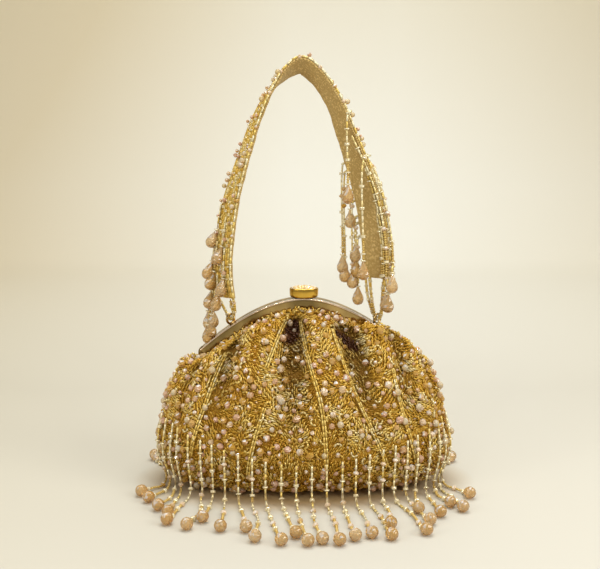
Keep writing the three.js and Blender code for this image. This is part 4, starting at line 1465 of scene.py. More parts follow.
@dataclass
class PouchBeading:
    """The crust of beads on the pouch: patches of bugles laid each its own way, with cut beads."""

    palette: Palette
    form: PouchForm
    bugle: Pair = (3.5, 0.6)
    space: float = 0.3
    layers: tuple[Layer, ...] = (
        Layer(8.5, 1.28, 0.0, 1.0, 0.35, 11000),
        Layer(6.5, 1.3, 0.95, 0.62, 0.5, 16000),
    )
    # Rows, and bugles of a row, on each side of a patch's middle
    patch_rows: int = 6
    patch_bugles: int = 2
    # How far tones differ, patch from patch and bugle from bugle, and how far a bugle is turned, in radians
    patch_spread: Pair = (0.13, 0.12)
    patch_turn: float = 0.09
    # How far a fold's rows lie to each side and under the skin, and their radius; then their tones
    fold_row: Triple = (0.78, 0.3, 0.72)
    fold_tone: Pair = (0.66, 0.12)
    crystal: float = 1.9
    crystal_gap: float = 5.3
    clear_of_crystal: float = 1.8
    clear_of_row: float = 1.8
    curl_gap: float = 7.0
    curl_radius: float = 2.2
    curl_bugle: Pair = (2.1, 0.7)
    curl_bend: float = 0.95
    bubble: float = 2.4
    bubble_gap: float = 15.0
    # The crust's own humps: how high, how far apart, and how they change the tones: a random change, which
    # also paints the tops paler and the hollows between humps darker, as painted light and shade
    swell: float = 0.7
    wave: float = 26.0
    hump_shading: float = 0.16
    # The painted shade on the belly: up to which share of the height, how dark, and how far the tones are
    # lowered
    shaded: Triple = (0.35, 0.2, 0.25)
    low: float = 0.03
    high: float = 0.985
    tries: int = 30000
    seed: int = 12

    def __post_init__(self) -> None:
        """Starts the random draws."""
        self.rng = np.random.default_rng(self.seed)

    def scatter(self, apart: float, tries: int) -> tuple[Array, Array]:
        """Places spread over the skin, none nearer to another than a distance.

        Args:
            apart: the distance.
            tries: how many places are tried.

        Returns:
            Their angles and heights.
        """
        angle = self.rng.uniform(-180, 180, tries)
        up = self.rng.uniform(self.low, self.high, tries)
        ground = self.form.ground(angle, up)
        area = ground.per_degree * ground.per_up
        kept = self.rng.random(tries) < area / np.percentile(area, 98)
        angle, up, place = angle[kept], up[kept], ground.place[kept]
        cells: dict[tuple[int, ...], list[int]] = {}
        chosen = []
        around = list(itertools.product((-1, 0, 1), repeat=3))
        for index, (spot, cell) in enumerate(zip(place, np.floor(place / apart).astype(int), strict=True)):
            i, j, k = cell.tolist()
            near = [other for a, b, c in around for other in cells.get((i + a, j + b, k + c), ())]
            if not near or (((place[near] - spot) ** 2).sum(1) >= apart**2).all():
                cells.setdefault((i, j, k), []).append(index)
                chosen.append(index)
        return angle[chosen], up[chosen]

    def patches(self, layer: Layer) -> tuple[Array, Array, Array, Array]:
        """Bugles in patches, each patch a few parallel rows.

        Args:
            layer: how the patches are laid.

        Returns:
            The angle, height, turn and tone of each bugle.
        """
        middle_angle, middle_up = self.scatter(layer.patch, layer.tries)
        count = len(middle_up)
        middle = self.form.ground(middle_angle, middle_up)
        turns = self.rng.uniform(0, np.pi, count)
        tones = self.rng.normal(layer.tone, self.patch_spread[0], count)
        worked = self.rng.random(count) < layer.kept
        rows = np.arange(-self.patch_rows, self.patch_rows + 1)
        row, column = np.meshgrid(rows, np.arange(-self.patch_bugles, self.patch_bugles + 1), indexing="ij")
        across = row.ravel() * layer.apart
        along = (column.ravel() + 0.5 * (row.ravel() % 2)) * (self.bugle[0] + self.space)
        c, s = np.cos(turns)[:, None], np.sin(turns)[:, None]
        right, high = along * c - across * s, along * s + across * c
        angle = (middle_angle[:, None] + right / middle.per_degree[:, None]).ravel()
        up = (middle_up[:, None] + high / middle.per_up[:, None]).ravel()
        patch = np.repeat(np.arange(count), len(across))
        inside = (up > self.low) & (up < self.high) & worked[patch]
        angle, up, patch = angle[inside], up[inside], patch[inside]
        parts = np.array_split(self.form.skin(angle, up), 24)
        nearest = [((part[:, None] - middle.place[None]) ** 2).sum(-1).argmin(1) for part in parts]
        mine = np.concatenate(nearest) == patch
        angle, up, patch = angle[mine], up[mine], patch[mine]
        turn = turns[patch] + self.rng.normal(0, self.patch_turn, len(patch))
        return angle, up, turn, tones[patch] + self.rng.normal(0, self.patch_spread[1], len(patch))

    def lay(
        self,
        pile: BeadPile,
        bead: Bead,
        where: tuple[Array, Array],
        way: Array,
        size: tuple[Number, Number],
        tone: Array,
        lift: Number,
    ) -> None:
        """Lays beads on the cloth.

        Args:
            pile: where they are added.
            bead: their kind.
            where: their angles and heights.
            way: the directions of their holes.
            size: their lengths and radii.
            tone: their tones.
            lift: how high they lie over the cloth's own layer.
        """
        ground, up = self.form.ground(*where), where[1]
        lump = lumps(ground.place, self.wave, 4) + 0.5 * lumps(ground.place, self.wave * 0.4, 9)
        stand = lift + size[1] * 0.8 + self.swell * np.clip(lump, -0.6, 1.4) - self.form.inset(up)
        # Painted shade: dark in the folds and pits and low on the belly, where the tones are also lowered.
        shaded, shade, toned_down = self.shaded
        under = np.clip(1 - up / shaded, 0, 1)
        dark = np.maximum(self.form.fold_shade(*where), shade * under)
        # Cut and round beads catch more light than the bugles, and may be paler, and take half the painted
        # shade
        most, darkened = (0.9, 1.0) if bead is Bead.BUGLE else (1.0, 0.5)
        # Painted light on the humps' tops and painted shade in their hollows, and painted shade low on the
        # belly.
        tone = np.clip(tone + self.hump_shading * lump - toned_down * under, 0, most)
        places = ground.place + ground.normal * stand[:, None]
        pile.add(bead, places, way, ground.normal, *size, tone, darkened * dark)

    def fold_rows(self, pile: BeadPile) -> Array:
        """Lays double rows of bugles along the folds and returns the places that they take."""
        taken = []
        apart, under, radius = self.fold_row
        for line in FOLD_ROWS:
            stops = np.array(line, float)
            route = curve_through(np.column_stack([stops, np.zeros(len(stops))]), 40)[:, :2]
            track = Route(self.form.skin(route[:, 0], route[:, 1]))
            step = self.bugle[0] + self.space
            at = np.arange(step / 2, track.length, step)
            where = tuple(np.interp(at, track.travelled, route[:, i]) for i in (0, 1))
            ground, heading, dark = self.form.ground(*where), track.heading(at), self.form.fold_shade(*where)
            beside = np.cross(ground.normal, heading)
            for side in (-1, 1):
                middle = ground.place + side * beside * apart - ground.normal * under
                tone = np.clip(self.rng.normal(*self.fold_tone, len(at)), 0, 1)
                way = heading + self.rng.normal(0, 0.04, heading.shape)
                # The rows take part of the folds' painted shade.
                pile.add(Bead.BUGLE, middle, way, ground.normal, self.bugle[0], radius, tone, dark * 0.6)
            taken.append(track.at(np.arange(0, track.length, 1.2)))
        return np.vstack(taken)

    def crystals(self, pile: BeadPile, rows: Array) -> Array:
        """Scatters the cut beads and returns their places."""
        angle, up = self.scatter(self.crystal_gap, self.tries)
        clear = self._clear(self.form.skin(angle, up), rows, self.clear_of_row + 0.6)
        clear &= (self.form.fold_shade(angle, up) < 0.5) | (self.rng.random(len(up)) < 0.6)
        angle, up = angle[clear], up[clear]
        count = len(up)
        ground = self.form.ground(angle, up)
        radius = self.crystal * self.rng.choice([0.6, 0.85, 1.1, 1.35], count, p=[0.25, 0.3, 0.3, 0.15])
        lie = unit(ground.around * self.rng.normal(0, 1, (count, 1)) + ground.upward)
        lie = lie + self.rng.normal(0, 0.25, lie.shape)
        tone = self.rng.random(count)
        size = radius * self.rng.uniform(1.5, 2.2, count), radius
        self.lay(pile, Bead.CRYSTAL, (angle, up), lie, size, tone, 0.5)
        return ground.place

    def curls(self, pile: BeadPile, stones: Array) -> None:
        """Short curls of small bugles that stand up between the cut beads."""
        angle, up = self.scatter(self.curl_gap, self.tries)
        keep = self._clear(self.form.skin(angle, up), stones, 2.2) & (self.form.fold_shade(angle, up) < 0.6)
        angle, up = angle[keep], up[keep]
        ground = self.form.ground(angle, up)
        turn = self.rng.uniform(0, 2 * np.pi, (len(angle), 1))
        tone = self.rng.normal(0.72, 0.18, len(angle))
        for step in (-1, 0, 1):
            bend = turn + step * self.curl_bend
            way = -np.sin(bend) * ground.around + np.cos(bend) * ground.upward
            right = self.curl_radius * (np.cos(bend[:, 0]) - np.cos(turn[:, 0]))
            high = self.curl_radius * (np.sin(bend[:, 0]) - np.sin(turn[:, 0]))
            height = np.clip(up + high / ground.per_up, self.low, self.high)
            where = angle + right / ground.per_degree, height
            self.lay(pile, Bead.BUGLE, where, way, self.curl_bugle, tone, 2.2 - 0.7 * abs(step))

    def bubbles(self, pile: BeadPile) -> None:
        """Round clear beads that stand out on the shoulders and the sides."""
        angle, up = self.scatter(self.bubble_gap, 9000)
        side = np.abs(np.cos(np.radians(angle)))
        keep = (self.rng.random(len(up)) < 0.25 + 0.75 * side) & (self.form.fold_shade(angle, up) < 0.3)
        where = angle[keep], up[keep]
        ground = self.form.ground(*where)
        size = self.bubble * self.rng.uniform(0.75, 1.1, int(keep.sum()))
        self.lay(pile, Bead.BUBBLE, where, ground.upward, (2 * size, size), self.rng.random(len(size)), 1.4)

    def edging(self, pile: BeadPile, stones: BeadPile) -> None:
        """Beads crowded along the cloth's top edge, over the foot of the frame's faces."""
        angle = np.arange(-180, 180, 0.9)
        angle = angle[np.abs(np.sin(np.radians(angle))) > 0.25]
        neck = self.form.neck_ring(angle, False)
        x, front, face = neck[:, 0], np.sign(neck[:, 1]), self.form.frame_depth / 2
        for height, size in ((-0.4, (3.2, 0.65)), (0.8, (2.8, 0.65)), (1.9, (2.4, 0.6))):
            place = np.stack([x, front * (face + 1.2), neck[:, 2] + height], axis=1)
            place += self.rng.normal(0, 0.6, place.shape)
            way = self.rng.normal(0, 1, place.shape) * (1, 0.3, 1)
            tone = np.clip(self.rng.normal(0.5, 0.2, len(x)), 0, 1)
            kept = self.rng.random(len(x)) < 1.05 - 0.25 * height
            # A little painted shade where the beads meet the frame's face.
            pile.add(Bead.BUGLE, place[kept], way[kept], (0, 1, 0), *size, tone[kept], 0.1)
        some = self.rng.random(len(x)) < 0.16
        place = np.stack([x, front * (face + 1.8), neck[:, 2] + 0.8], axis=1)[some]
        place += self.rng.normal(0, 0.8, place.shape) * (1, 0.3, 1)
        size = self.crystal * self.rng.uniform(0.6, 1.0, len(place))
        tone = self.rng.random(len(place))
        stones.add(Bead.CRYSTAL, place, (1, 0.2, 0.4), (0, 1, 0), size * 1.7, size, tone)

    @staticmethod
    def _clear(places: Array, others: Array, apart: float) -> Array:
        """Which places lie no nearer than a distance to any of the others."""
        near = [
            ((part[:, None] - others[None]) ** 2).sum(-1).min(1)
            for part in np.array_split(places.astype(np.float32), max(len(places) // 400, 1))
        ]
        return np.concatenate(near) > apart**2

    def build(self) -> None:
        """Makes the bugles and the cut beads of the front and of the back, each as a piece."""
        pile, stones = BeadPile(self.palette), BeadPile(self.palette)
        rows = self.fold_rows(pile)
        spots = self.crystals(stones, rows)
        self.bubbles(stones)
        for layer in self.layers:
            angle, up, turn, tone = self.patches(layer)
            place = self.form.skin(angle, up)
            keep = self._clear(place, rows, self.clear_of_row)
            keep &= self._clear(place, spots, self.clear_of_crystal) | (layer.lift == 0)
            keep &= (self.form.fold_shade(angle, up) < 0.55) | (self.rng.random(len(up)) < 0.6)
            angle, up, turn, tone = angle[keep], up[keep], turn[keep], tone[keep]
            ground = self.form.ground(angle, up)
            way = np.cos(turn)[:, None] * ground.around + np.sin(turn)[:, None] * ground.upward
            way = way + ground.normal * self.rng.normal(0, 0.1, (len(turn), 1))
            length = self.bugle[0] * self.rng.choice([0.6, 0.85, 1.0], len(turn), p=[0.15, 0.25, 0.6])
            lift = layer.lift + self.rng.gamma(1.2, 0.2, len(turn))
            self.lay(pile, Bead.BUGLE, (angle, up), way, (length, self.bugle[1]), tone, lift)
        self.curls(pile, spots)
        self.edging(pile, stones)
        for word, side in (("front", -1), ("back", 1)):
            for what, whole in (("bugles", pile), ("crystals", stones)):
                dress(whole.half(side).joined(f"pouch_{what}_{word}"), ["pouch"])


# Strap

# The band's middle line: share of the half spread, share of the peak, and twist in degrees
STRAP_LINE = (
    (-1, 0, 46), (-1.01, 0.1, 38), (-0.985, 0.21, 32), (-0.94, 0.315, 29), (-0.885, 0.43, 27),
    (-0.795, 0.54, 22), (-0.69, 0.65, 17), (-0.6, 0.745, 14), (-0.48, 0.84, 9), (-0.335, 0.92, 0),
    (-0.18, 0.975, -14), (-0.03, 1, -25), (0.12, 0.965, -25), (0.26, 0.905, -24), (0.37, 0.84, -25),
    (0.48, 0.74, -29), (0.58, 0.645, -34), (0.69, 0.54, -41), (0.785, 0.43, -46), (0.85, 0.315, -49),
    (0.89, 0.21, -49), (0.905, 0.085, -48),
)


@dataclass
class StrapForm:
    """The band's line, with the directions along, across and out of it."""

    arch: Arch
    above: float = 0.3
    peak: float = 156.0
    from_end: float = 16.5
    width: float = 22.0
    cloth: float = 1.4
    beads: float = 2.2
    beads_width: float = 20.6
    fine: int = 24

    def __post_init__(self) -> None:
        """Measures the line."""
        self.foot = self.arch.top + self.above
        half_spread = self.arch.half_span - self.from_end
        across, rise, self.turns = np.array(STRAP_LINE, float).T
        stops = np.stack([across * half_spread, np.zeros(len(rise)), self.foot + rise * self.peak], axis=1)
        self.line = Route(curve_through(stops, self.fine))
        self.slots = np.linspace(0, len(rise) - 1, len(self.line.points))
        self.length = self.line.length

    @property
    def face(self) -> float:
        """How far out of the band's middle its beads start."""
        return self.cloth / 2 + GAP

    def axes(self, at: Array) -> tuple[Array, Array, Array, Array]:
        """The band's place and its directions along, across and out, at shares of its length."""
        travelled = np.clip(np.atleast_1d(at), 0, 1) * self.length
        slot = np.interp(travelled, self.line.travelled, self.slots)
        turn = np.radians(smooth_through(slot, np.arange(len(self.turns)), self.turns))[:, None]
        along = self.line.heading(travelled)
        level = np.broadcast_to(np.array([0.0, 1.0, 0.0]), along.shape)
        dot = (along * level).sum(-1, keepdims=True)
        c, s = np.cos(turn), np.sin(turn)
        across = level * c + np.cross(along, level) * s + along * dot * (1 - c)
        return self.line.at(travelled), along, across, np.cross(along, across)

    def beside(self, at: Array, edge: Number, out: Number, width: float | None = None) -> Array:
        """Places beside the band.

        Args:
            at: shares of its length.
            edge: from -1 at the back edge to 1 at the front edge.
            out: how far out from its middle.
            width: the width that edge is a share of, which is the band's own unless it is given.

        Returns:
            The places.
        """
        place, _, across, outwards = self.axes(at)
        edge, out = (np.broadcast_to(value, len(place))[:, None] for value in (edge, out))
        return place - across * edge * (width or self.width) / 2 + outwards * out

    def on_leg(self, leg: int, rise: float) -> float:
        """The share of the length where the left (-1) or right (1) leg has a height."""
        height = self.foot + rise * self.peak
        low, high = (0.0, 0.5) if leg < 0 else (1.0, 0.5)
        for _ in range(20):
            middle = (low + high) / 2
            below = self.line.at(np.array([middle * self.length]))[0, 2] < height
            low, high = (middle, high) if below else (low, middle)
        return low

    def ring_place(self, end: int, frame: GiltFrame) -> tuple[Array, Array]:
        """The direction across the band's end, and where the ring under it stands."""
        _, _, across, _ = self.axes(np.array([0.0 if end < 0 else 1.0]))
        level = unit(across[0] * (1, 1, 0))
        x = frame.arch.half_span - frame.ring_from_end
        z = float(frame.arch.height(x)) + frame.ring + frame.wire - frame.ring_sunk
        return level, np.array([end * x, frame.ring_back, z])


# Strings on the left leg: start height, place across, length on the band, free length
FACE_STRINGS = (
    (0.4, -0.95, 0.115, 0), (0.355, 0.15, 0.13, 0), (0.28, -0.95, 0.13, 0), (0.24, -0.6, 0.13, 0),
    (0.22, 0.5, 0.13, 0), (0.12, -0.9, 0.09, 0), (0.1, -0.25, 0.075, 0), (0.02, -0.55, 0.013, 0.058),
    (0.05, -0.95, 0.035, 0.075), (0.04, -0.8, 0.03, 0.13), (0.035, -0.6, 0.03, 0.1),
)
# Strings over an edge of the right leg: start height, edge, inset, free length
EDGE_STRINGS = (
    (0.6, -1, 0, 0.4), (0.565, -1, 0, 0.405), (0.48, -1, 0, 0.077), (0.43, -1, 0, 0.3),
    (0.36, -1, 0, 0.115), (0.33, -1, 0, 0.155), (0.27, -1, 0, 0.22), (0.79, 1, 0.0, 0.30),
    (0.6, 1, 0.04, 0.44), (0.14, 1, -0.2, 0.026), (0.06, 1, 0.12, 0.06), (0.05, 1, 0.3, 0.055),
)
# Strands beside the right leg: start and end heights, place across and place out
STRANDS = (
    (0.66, 0.1, 0.98, 1.8), (0.6, 0.14, 1.06, 3.0), (0.5, 0.08, 1.14, 2.0), (0.7, 0.02, 0.93, -2.0),
    (0.56, -0.03, 0.74, -2.2), (0.4, -0.06, 0.58, -2.0),
)


@dataclass
class Strap:
    """The band, the strings laid on its face, the strings that hang from it and its end loops."""

    palette: Palette
    form: StrapForm
    frame: GiltFrame
    stations: int = 240
    rows: int = 11
    lean: float = 0.3
    hang_out: float = 0.25
    leaves: float = 0.85
    string: float = 1.15
    hangs_from: tuple[str, ...] = ("strap_loop_left_beads", "strap_loop_right_beads")
    laid: StringStyle = StringStyle(run=5, seeds_from=1.1, disc=(0.8, 1.5), crystal=(2.6, 1.5))
    looped: StringStyle = StringStyle(seed=(1.7, 1.2), bugle=(1.7, 1.2), disc=(0.8, 1.5), crystal=(1.9, 1.4))
    # The loops: half their spread on the band and at the ring, and how far down the foot they are sewn
    loop_spread: Pair = (0.28, 1.3)
    loop_sewn: float = 0.9

    def band(self) -> None:
        """The woven band, with rolled and rippled edges."""
        form = self.form
        turn = np.linspace(0, 2 * np.pi, 28, endpoint=False)
        edge, out = (np.sign(wave) * np.abs(wave) ** 0.35 for wave in (np.cos(turn), np.sin(turn)))
        at = np.linspace(0, 1, self.stations)
        ripple = 0.15 * np.sin(at * 90) + 0.1 * np.sin(at * 233 + 1)
        roll = 1 + 0.5 * np.clip(np.abs(edge) - 0.86, 0, 1) / 0.14
        thick = out * form.cloth / 2 * roll
        rings = [form.beside(at, e, o + ripple * abs(e)) for e, o in zip(edge, thick, strict=True)]
        weave = np.zeros((len(at), len(turn), 3))
        weave[..., 0] = edge * form.width / 2
        weave[..., 1] = (at * form.length)[:, None]
        skin = np.stack(rings[::-1], axis=1)
        band = lofted("strap_lining", skin, self.palette.lining, "weave", weave[:, ::-1])
        dress(band, ["strap"])

    def beading(self, leg: int) -> None:
        """The bead strings along one leg and those that hang from it."""
        form = self.form
        pile = BeadPile(self.palette)
        stringer = Stringer(pile, 20 + leg, self.laid)
        start, end = (0.0, 0.5) if leg < 0 else (0.5, 1.0)
        at = np.linspace(start, end, 160)
        for edge in np.linspace(-0.92, 0.92, self.rows):
            wander = 0.03 * np.sin(at * 40 + edge * 9)
            stringer.string(form.beside(at, edge + wander, form.face + 0.95, form.beads_width), tone=0.62)
        stringer.string(form.beside(at, 1.0, form.face + 0.35), tone=0.9)
        self._scattered(pile, leg, start, end)
        hanging = Stringer(pile, 50 + leg)
        hang, rows = (self._face_string, FACE_STRINGS) if leg < 0 else (self._edge_string, EDGE_STRINGS)
        for row in rows:
            hang(hanging, *row)
        if leg > 0:
            self._strands(hanging)
        word = "left" if leg < 0 else "right"
        dress(pile.joined(f"strap_strings_{word}"), [f"strap_beads_{word}"])

    def _scattered(self, pile: BeadPile, leg: int, start: float, end: float) -> None:
        """Cut beads and round clear ones on the leg's beading, most of them at its edges."""
        form = self.form
        rng = np.random.default_rng(31 + leg)
        for bead, count, least, most in ((Bead.CRYSTAL, 20, 1.1, 1.7), (Bead.BUBBLE, 9, 1.7, 2.4)):
            spots = np.sort(rng.uniform(start + 0.01, end - 0.01, count))
            edges = np.clip(rng.normal(0, 1, count) * 1.6, -0.98, 0.98)
            _, along, _, out = form.axes(spots)
            radius = rng.uniform(least, most, count)
            places = form.beside(spots, edges, form.face + form.beads, form.beads_width)
            places += out * (radius / 2)[:, None]
            way = along + rng.normal(0, 0.4, along.shape)
            pile.add(bead, places, way, out, radius * 1.8, radius, rng.random(count) ** 2)

    def _strands(self, stringer: Stringer) -> None:
        """Strands that hang beside the right leg's front edge."""
        for top, low, edge, out in STRANDS:
            at = np.linspace(self.form.on_leg(1, top), self.form.on_leg(1, low), 24)
            share = np.linspace(0, 1, len(at))
            swing = np.sin(share * np.pi) * 0.05 + np.clip(share * 6, 0, 1) * (edge - self.leaves)
            stringer.string(self.form.beside(at, self.leaves + swing, out))

    def _face_string(self, stringer: Stringer, rise: float, edge: float, along: float, free: float) -> None:
        """A string that follows the band's beading for a way, then hangs to its drop."""
        form = self.form
        start = form.on_leg(-1, rise)
        end = max(start - along * form.peak / form.length, 0.0)
        at = np.array([start, (start + end) / 2, end])
        points = form.beside(at, edge, form.face + form.beads, form.beads_width)
        out = form.axes(np.array([end]))[3][0]
        if free > 0:
            clear = free * form.peak
            last = points[2] + out * self.hang_out * clear
            last[2] = points[2][2] - clear
            stringer.with_drop(np.vstack([points, last]), DOWN)
        else:
            stringer.with_drop(points, unit(unit(points[2] - points[1]) + out * self.lean))

    def _edge_string(self, stringer: Stringer, rise: float, over: float, inset: float, free: float) -> None:
        """A string that goes over an edge of the right leg and hangs straight down to its drop."""
        form = self.form
        at = np.array([form.on_leg(1, rise)])
        clear = form.cloth / 2 + self.string + 2 * GAP
        beside = 1 + 2 * clear / form.width
        middle = form.face + form.beads / 2
        in_layer = form.beside(at, over * self.leaves, middle + 1.0, form.beads_width)[0]
        edge = form.beside(at, over * beside, middle)[0]
        hang = form.beside(at, over * (beside - inset), -clear if inset else 0.0)[0]
        stringer.with_drop(np.array([in_layer, edge, hang, hang + free * form.peak * DOWN]), DOWN)

    def loop(self, end: int) -> None:
        """The string loop that hangs the band's foot from its ring, and the loose ends beside it."""
        form, frame = self.form, self.frame
        across, ring = form.ring_place(end, frame)
        foot = form.axes(np.array([0.0 if end < 0 else 1.0]))[0][0]
        on_band, at_ring = form.width * self.loop_spread[0], 2 * frame.wire + self.loop_spread[1]
        sides = []
        for share in (1, -1):
            top = foot + across * share * on_band - (0, 0, self.loop_sewn)
            near = ring + across * share * at_ring + (0, 0, frame.ring * 0.75)
            sides.append([top, (top + near) / 2, near])
        points = np.array([*sides[0], ring - (0, 0, 0.4), *sides[1][::-1]])
        pile = BeadPile(self.palette)
        stringer = Stringer(pile, 70 + end, self.looped)
        stringer.string(curve_through(points), tone=0.7)
        for share in (0.85, 0.5, -0.6) if end > 0 else (-0.8,):
            top = foot + across * share * form.width / 2 + (0, 0, 1.0)
            low = ring + across * share * 4.0 + (0, 0, frame.ring / 2)
            bow = (top + low) / 2 + across * share * 2.0
            stringer.string(curve_through(np.array([top, bow, low])), tone=0.75)
        word = "left" if end < 0 else "right"
        dress(pile.joined(f"strap_loop_{word}_beads"), [f"strap_loop_{word}"])

    def build(self) -> None:
        """Makes the band, its strings and its loops."""
        self.band()
        for side in (-1, 1):
            self.beading(side)
            self.loop(side)


# Fringe

# Where each front string hangs, and where its drop lies: across and forward
FRINGE_STRINGS = (
    (-0.97, -1.07, 0.68), (-0.93, -1.005, 0.905), (-0.88, -0.925, 1.17), (-0.83, -0.85, 1.38),
    (-0.75, -0.84, 1.62), (-0.67, -0.71, 1.775), (-0.595, -0.625, 1.55), (-0.51, -0.505, 1.83),
    (-0.42, -0.35, 1.85), (-0.33, -0.29, 2.13), (-0.245, -0.135, 2.225), (-0.145, -0.05, 2.02),
    (-0.05, 0.02, 2.245), (0.05, 0.105, 2.19), (0.145, 0.205, 2.225), (0.245, 0.3, 2.095),
    (0.33, 0.4, 2.02), (0.42, 0.515, 2.075), (0.51, 0.525, 1.735), (0.585, 0.73, 1.925),
    (0.665, 0.77, 1.625), (0.74, 0.72, 1.265), (0.82, 0.85, 1.38), (0.89, 0.935, 1.055),
    (0.94, 1.005, 1.21), (0.975, 1.085, 0.755),
)


@dataclass
class Fringe:
    """The tape round the belly and the strings that fall from it onto the table."""

    palette: Palette
    form: PouchForm
    tape: float = 1.2
    tape_height: float = 3.4
    tape_under: float = 1.7
    # From its front end to its back end, in degrees from the side
    tape_ends: Pair = (7, 173)
    low: float = 27.0
    rise: float = 26.0
    curve: float = 1.5
    bend: float = 6.0
    clear: float = 0.6
    string: float = 1.15
    lies: float = 1.75
    belly: float = 0.35
    widest: float = 0.66
    # How far the end strings are tucked under the belly, and where
    tuck: float = 0.8
    tuck_height: float = 0.1
    stray: float = 1.4

    def height(self, angle: Number) -> Array:
        """The tape's height."""
        return self.low + self.rise * np.abs(np.cos(np.radians(angle))) ** self.curve

    def at_height(self, angle: Array, height: Array) -> Array:
        """The skin's places at heights."""
        reach = self.form.neck_height(self.form.neck * np.cos(np.radians(angle)))
        return self.form.skin(angle, height / reach)

    def outward(self, angle: Number) -> Array:
        """The plan direction straight out from the belly."""
        c, s = np.cos(np.radians(angle)), np.sin(np.radians(angle))
        return unit(np.stack([c / self.form.half_width, s / self.form.half_depth, np.zeros_like(c)], axis=-1))

    def tape_piece(self, side: int, word: str) -> None:
        """The tape, as a narrow woven ribbon with rounded edges."""
        angle = side * np.linspace(*self.tape_ends, 120)
        rings = []
        for turn in np.linspace(0, 2 * np.pi, 12, endpoint=False):
            wide, thick = (np.clip(1.3 * wave, -1, 1) for wave in (np.sin(turn), np.cos(turn)))
            place = self.at_height(angle, self.height(angle) + self.tape_height / 2 * wide)
            rings.append(place + self.outward(angle) * (self.tape * (0.5 * thick - 0.5) - self.tape_under))
        skin = np.stack(rings if side < 0 else rings[::-1], axis=1)
        tape = lofted(f"fringe_tape_{word}", skin, self.palette.backing, "fold", np.zeros_like(skin))
        dress(tape, [f"fringe_{word}"])

    def one(self, stringer: Stringer, side: int, row: Triple) -> None:
        """One string: down over the belly, round onto the table, and out to its drop."""
        hangs, across, forward = row
        flat, clear = np.array([1, 1, 0]), self.string + self.clear
        angle = np.array(side * math.degrees(math.acos(-side * hangs)))
        out = self.outward(angle)
        sewn = self.at_height(angle, self.height(angle)) + out * (3 * GAP + self.tape)
        hang = self.form.skin(angle, np.array(self.belly)) + out * clear
        length, radius = stringer.style.drop
        lie = (-side * across * self.form.half_width, side * forward * self.form.half_depth)
        drop = np.array([*lie, self.lies])
        run = unit((drop - hang) * flat)
        tip = drop - run * length * self.widest
        under = self.form.skin(angle, np.array(self.tuck_height)) + out * clear
        tucked = mix(hang, under, self.tuck * abs(hangs) ** 4) * flat
        foot = tucked + (0, 0, self.lies) + run * self.bend
        aside = np.array([-run[1], run[0], 0]) * stringer.rng.normal(0, self.stray)
        points = [sewn, tucked + (0, 0, self.bend), foot, mix(foot, tip, 0.55) + aside, tip]
        if sewn[2] > self.low + self.tape_height:
            points.insert(1, hang * flat + (0, 0, self.low))
        pitch = math.asin((radius - self.lies) / (length * self.widest))
        stringer.with_drop(np.array(points), run * math.cos(pitch) - DOWN * math.sin(pitch))

    def build(self) -> None:
        """Makes the front and the back of the fringe."""
        for side, word in ((-1, "front"), (1, "back")):
            self.tape_piece(side, word)
            pile = BeadPile(self.palette)
            stringer = Stringer(pile, 90 + side)
            for row in FRINGE_STRINGS:
                self.one(stringer, side, row)
            dress(pile.joined(f"fringe_strings_{word}"), [f"fringe_{word}"])


# Studio


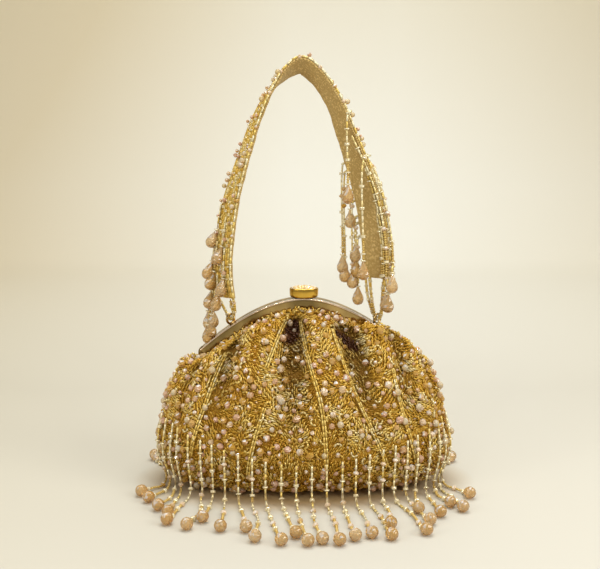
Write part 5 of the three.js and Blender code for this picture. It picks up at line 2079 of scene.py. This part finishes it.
@dataclass
class Studio:
    """The table, the backdrop, the lights and the camera."""

    camera_place: Triple = (-0.0027, -0.700, 0.250)
    pitch: float = 81.0
    sensor: float = 36.0
    lens: float = 61.74
    sparks: tuple[Triple, ...] = (
        (-0.45, -0.8, 0.9),
        (0.1, -1.0, 0.75),
        (0.55, -0.75, 0.5),
        (-0.75, -0.6, 0.45),
        (0.3, -0.6, 1.1),
        (-0.2, -1.1, 0.4),
    )
    spark_size: float = 0.035
    spark_power: float = 0.6
    warm: Triple = (1.0, 0.97, 0.91)
    sky: Triple = (1.0, 0.97, 0.92)
    sky_strength: float = 0.38
    # Paler in the middle, with painted shade towards the sides and above.
    wall: Triple = (0.92, 0.92, 0.85)
    wall_shade: Triple = (0.76, 0.68, 0.50)
    table: Triple = (0.61, 0.595, 0.53)
    table_shade: Triple = (0.555, 0.51, 0.385)
    # A painted warm shadow on the table under the bag, tinted as if by light bounced off the gold.
    painted_shadow: Triple = (0.43, 0.25, 0.045)
    painted_shadow_reach: Pair = (0.105, 0.062)
    # The sweep, in metres: its front, where it starts to curve, the curve's radius, its top and half width
    front: float = -1.6
    back: float = 1.0
    radius: float = 0.5
    top: float = 2.2
    half: float = 2.5

    def camera(self) -> None:
        """The camera at the photograph's angle."""
        data = bpy.data.cameras.new("camera")
        data.sensor_width = self.sensor
        data.lens = self.lens
        data.clip_start = 0.01
        camera = bpy.data.objects.new("camera", data)
        camera.location = self.camera_place
        camera.rotation_euler = (math.radians(self.pitch), 0, 0)
        bpy.context.scene.collection.objects.link(camera)
        bpy.context.scene.camera = camera

    def paper(self) -> Material:
        """The sweep's paper: paler in the middle than at the sides and above, as a painted pool of light, with
        a painted warm shadow under the bag.
        """
        paper = Finish("studio paper", roughness=0.6, specular_ior_level=0.2)
        spot = paper.axes(paper.place())
        # Painted falloff of the light: darker to the left and right, and higher on the wall.
        left = paper.span(spot["X"], 1.0, 0.0, -0.62, -0.02)
        right = paper.span(spot["X"], 0.0, 0.45, 0.2, 0.6)
        high = paper.span(spot["Z"], 0.0, 0.35, 0.12, 0.5)
        sides = paper.maths("ADD", left, right)
        share = paper.node("Math", {0: sides, 1: high}, operation="ADD", use_clamp=True).outputs[0]
        # Painted shadow under the bag.
        scale = (1 / self.painted_shadow_reach[0], 1 / self.painted_shadow_reach[1], 0)
        near = paper.node("VectorMath", {0: paper.place(), 1: scale}, operation="MULTIPLY").outputs[0]
        far = paper.node("VectorMath", {0: near}, operation="LENGTH").outputs["Value"]
        table = paper.blended(share, self.table, self.table_shade)
        table = paper.blended(paper.span(far, 0.75, 0.0, 0.75, 1.15), table, self.painted_shadow)
        wall = paper.blended(share, self.wall, self.wall_shade)
        paper.link(paper.blended(paper.span(spot["Y"], 0.0, 1.0, 0.25, 1.1), table, wall), "Base Color")
        return paper.material

    def sweep(self) -> None:
        """The pale table, curving up into the backdrop."""
        bend = np.linspace(0, np.pi / 2, 24)
        y = np.array([self.front, *(self.back + self.radius * np.sin(bend)), self.back + self.radius])
        z = np.array([0.0, *(self.radius * (1 - np.cos(bend))), self.top])
        edges = [np.stack([np.full_like(y, x), y, z], axis=1) / MM for x in (-self.half, self.half)]
        a, count = np.arange(len(y) - 1), len(y)
        quads = np.stack([a, a + count, a + count + 1, a + 1], axis=1)
        sizes = np.full(len(quads), 4)
        new_piece("studio_sweep", np.vstack(edges), quads.ravel(), sizes, True, [self.paper()])

    def light(self, name: str, place: Triple, size: float, power: float, aim: Triple = (0, 0, 0.1)) -> None:
        """A soft square light that faces a place, which is the bag unless it is given."""
        data = bpy.data.lights.new(name, "AREA")
        data.size = size
        data.energy = power
        data.color = self.warm
        lamp = bpy.data.objects.new(name, data)
        lamp.location = place
        lamp.rotation_euler = (Vector(aim) - Vector(place)).to_track_quat("-Z", "Y").to_euler()
        bpy.context.scene.collection.objects.link(lamp)

    def build(self) -> None:
        """Sets up the studio."""
        self.camera()
        self.sweep()
        world = bpy.data.worlds.new("studio")
        world.use_nodes = True
        sky = world.node_tree.nodes["Background"].inputs
        sky["Color"].default_value = (*self.sky, 1.0)
        sky["Strength"].default_value = self.sky_strength
        bpy.context.scene.world = world
        bpy.context.scene.view_settings.view_transform = "Standard"
        self.light("overhead", (0.1, 0.0, 1.3), 1.1, 12.5)
        self.light("backdrop", (0.1, 0.7, 1.5), 0.8, 3.6, (0.1, 1.5, 0.25))
        self.light("window", (0.9, -0.5, 0.7), 0.5, 5.0)
        self.light("fill", (-0.9, -0.7, 0.5), 0.7, 2.5)
        for index, place in enumerate(self.sparks):
            self.light(f"spark {index}", place, self.spark_size, self.spark_power)


def main() -> None:
    """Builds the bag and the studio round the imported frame."""
    logging.basicConfig(level=logging.INFO, format="%(name)s: %(message)s")
    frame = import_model()
    bpy.ops.object.select_all(action="DESELECT")
    Studio().build()
    palette = Palette.mixed()
    for node in ("hinge_rivet_left", "hinge_rivet_right", "clasp_pin"):
        wear(frame["nodes"][node], palette.gilt)
    arch = Arch()
    pouch, strap = PouchForm(arch), StrapForm(arch)
    gilt, clasp = GiltFrame(palette, arch), Clasp(palette, arch)
    gilt.build(clasp, strap)
    clasp.build()
    PouchCloth(palette, pouch).build()
    PouchBeading(palette, pouch).build()
    Strap(palette, strap, gilt).build()
    Fringe(palette, pouch).build()


if __name__ == "__main__":
    main()
